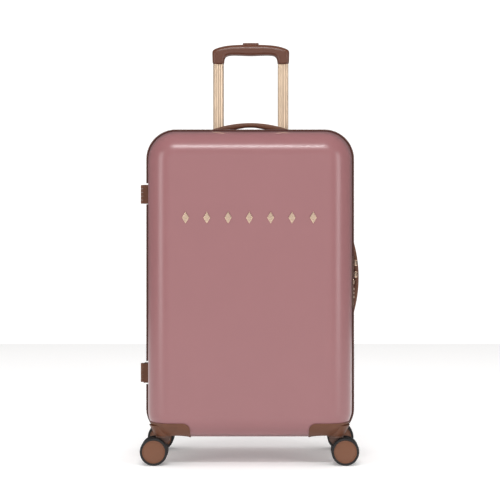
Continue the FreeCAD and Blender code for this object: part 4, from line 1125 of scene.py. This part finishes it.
tube_low, tube_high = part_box("trolley_inner_tubes")
TUBE_WIDTH = 0.022
TUBE_CORNER = 0.003
FLUTES = (
    (0.0, 0.0), (0.0022, 0.0), (0.0030, 0.0004), (0.0040, 0.0007), (0.0052, 0.0007),
    (0.0062, 0.0004), (0.0070, 0.0),
)
tube_half_y = (tube_high.y - tube_low.y) / 2
tube_y = (tube_high.y + tube_low.y) / 2
face_run = [(-x, dip) for x, dip in reversed(FLUTES[1:])] + list(FLUTES)
outline = [(x, dip - tube_half_y) for x, dip in face_run]
for i in range(1, 7):
    turn = math.radians(-90 + 90 * i / 6)
    corner_x = TUBE_WIDTH / 2 - TUBE_CORNER + TUBE_CORNER * math.cos(turn)
    outline.append((corner_x, TUBE_CORNER - tube_half_y + TUBE_CORNER * math.sin(turn)))
outline += [(x, -y) for x, y in reversed(outline)]
section = outline + [(-x, -y) for x, y in outline[len(face_run) : -len(face_run)]]
tubes = []
for across in (-1.0, 1.0):
    x_middle = across * (tube_high.x - TUBE_WIDTH / 2)
    loops = [
        [Vector((x_middle + x, tube_y + y, z)) for x, y in section]
        for z in (tube_low.z, tube_low.z + 0.1, tube_high.z - 0.06, tube_high.z)
    ]
    tubes.append(loft(f"inner_tube_{int(across)}", loops))
tube_pair = join("trolley_fluted_tubes", tubes)
sharpen(tube_pair, 25.0)
dress(tube_pair, tube_finish, "tube", "trolley_top", "trolley_inner_tubes")

GRIP_OUTSIDE = (
    (0.0797, 0.8000), (0.0799, 0.8060), (0.0801, 0.8120), (0.0803, 0.8180), (0.0805, 0.8240),
    (0.0804, 0.8285), (0.0775, 0.8316), (0.0725, 0.8340), (0.0640, 0.8369), (0.0540, 0.8391),
    (0.0420, 0.8407), (0.0280, 0.8415), (0.0140, 0.8418), (0.0000, 0.8418),
)
GRIP_INSIDE = (
    (0.0556, 0.8000), (0.0554, 0.8040), (0.0551, 0.8075), (0.0546, 0.8105), (0.0536, 0.8130),
    (0.0520, 0.8151), (0.0498, 0.8168), (0.0465, 0.8180), (0.0420, 0.8187), (0.0360, 0.8190),
    (0.0280, 0.8189), (0.0190, 0.8185), (0.0095, 0.8180), (0.0000, 0.8178),
)
grip_low, grip_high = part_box("trolley_grip")
grip_y = (grip_low.y + grip_high.y) / 2
grip_reach = (grip_high.y - grip_low.y) / 2
half_run = list(zip(GRIP_OUTSIDE, GRIP_INSIDE))
loops = []
for sign, a, b in [(-1.0, *pair) for pair in half_run] + [(1.0, *pair) for pair in half_run[-2::-1]]:
    outer = Vector((sign * a[0], 0.0, a[1]))
    inner = Vector((sign * b[0], 0.0, b[1]))
    middle_point = (outer + inner) / 2
    radial = (outer - inner) / 2
    up_share = max(0.0, min(1.0, (middle_point.z - 0.812) / 0.016))
    loop = []
    for k in range(32):
        angle = 2 * math.pi * k / 32
        c, s = math.cos(angle), math.sin(angle)
        squareness = 0.55 + 0.25 * up_share
        loop.append(
            middle_point
            + radial * math.copysign(abs(c) ** squareness, c)
            + Vector((0.0, grip_y + grip_reach * math.copysign(abs(s) ** squareness, s), 0.0))
        )
    loops.append(loop)
grip = loft("trolley_grip_moulding", loops)
grip.modifiers.new("smooth", "SUBSURF").levels = 1
applied(grip)
sharpen(grip, 60.0)
dress(grip, grip_finish, "grip", "trolley_top", "trolley_grip")


# ---- floor, lights and camera ----

floor_finish = Finish("floor_white", (0.90, 0.90, 0.90), 0.75)
floor_finish.set("Roughness", floor_finish.between(floor_finish.noise(3.0), 0.7, 0.85))
floor_finish.set("Emission Color", (1.0, 1.0, 1.0, 1.0))
floor_finish.set("Emission Strength", 0.20)
floor_corners = [(-2.6, -2.6, 0.0), (2.6, -2.6, 0.0), (2.6, 2.6, 0.0), (-2.6, 2.6, 0.0)]
floor = mesh_object("floor", floor_corners, [(0, 1, 2, 3)], False)
floor.data.materials.append(floor_finish.material)


def softbox(name, place, target, size, power, reflected=True):
    """A rectangular area light that faces a point. Reflected: whether it makes highlights."""
    lamp = bpy.data.lights.new(name, "AREA")
    lamp.shape = "RECTANGLE"
    lamp.size, lamp.size_y = size
    lamp.energy = power
    obj = bpy.data.objects.new(name, lamp)
    bpy.context.scene.collection.objects.link(obj)
    obj.location = place
    obj.rotation_mode = "QUATERNION"
    obj.rotation_quaternion = (Vector(target) - Vector(place)).to_track_quat("-Z", "Y")
    obj.visible_glossy = reflected


middle = Vector((0.0, 0.0, 0.40))
softbox("strip_front_top", (0.0, -2.2, 2.72), middle, (1.5, 0.34), 42.0)
softbox("soft_left", (-2.52, -2.02, 0.9), middle, (1.0, 2.0), 22.0)
softbox("soft_right", (2.52, -2.02, 0.9), middle, (1.0, 2.0), 22.0)
softbox("front_panel", (0.0, -4.6, 0.7), middle, (3.0, 2.2), 15.0)
softbox("overhead", (0.0, 0.2, 3.6), middle, (3.4, 3.4), 45.0, reflected=False)

world = bpy.data.worlds.new("studio")
bpy.context.scene.world = world
world.use_nodes = True
sky = world.node_tree
around = sky.nodes["Background"]
around.inputs["Color"].default_value = (1.0, 0.985, 0.975, 1.0)
AMBIENT, REFLECTED, SEEN = 0.62, 0.16, 1.15
path = sky.nodes.new("ShaderNodeLightPath")
glossy = sky.nodes.new("ShaderNodeMix")
glossy.inputs["A"].default_value = AMBIENT
glossy.inputs["B"].default_value = REFLECTED
sky.links.new(path.outputs["Is Glossy Ray"], glossy.inputs["Factor"])
seen = sky.nodes.new("ShaderNodeMix")
seen.inputs["B"].default_value = SEEN
sky.links.new(path.outputs["Is Camera Ray"], seen.inputs["Factor"])
sky.links.new(glossy.outputs["Result"], seen.inputs["A"])
sky.links.new(seen.outputs["Result"], around.inputs["Strength"])
bpy.context.scene.view_settings.view_transform = "Standard"

lens = bpy.data.cameras.new("camera")
lens.sensor_width = 36.0
lens.lens = 107.13
lens.shift_x = -0.035
lens.shift_y = -0.072
lens.clip_end = 100.0
camera = bpy.data.objects.new("camera", lens)
bpy.context.scene.collection.objects.link(camera)
camera.location = (0.0349, -3.0, 0.4884)
camera.rotation_euler = (math.radians(90.0), 0.0, 0.0)
bpy.context.scene.camera = camera
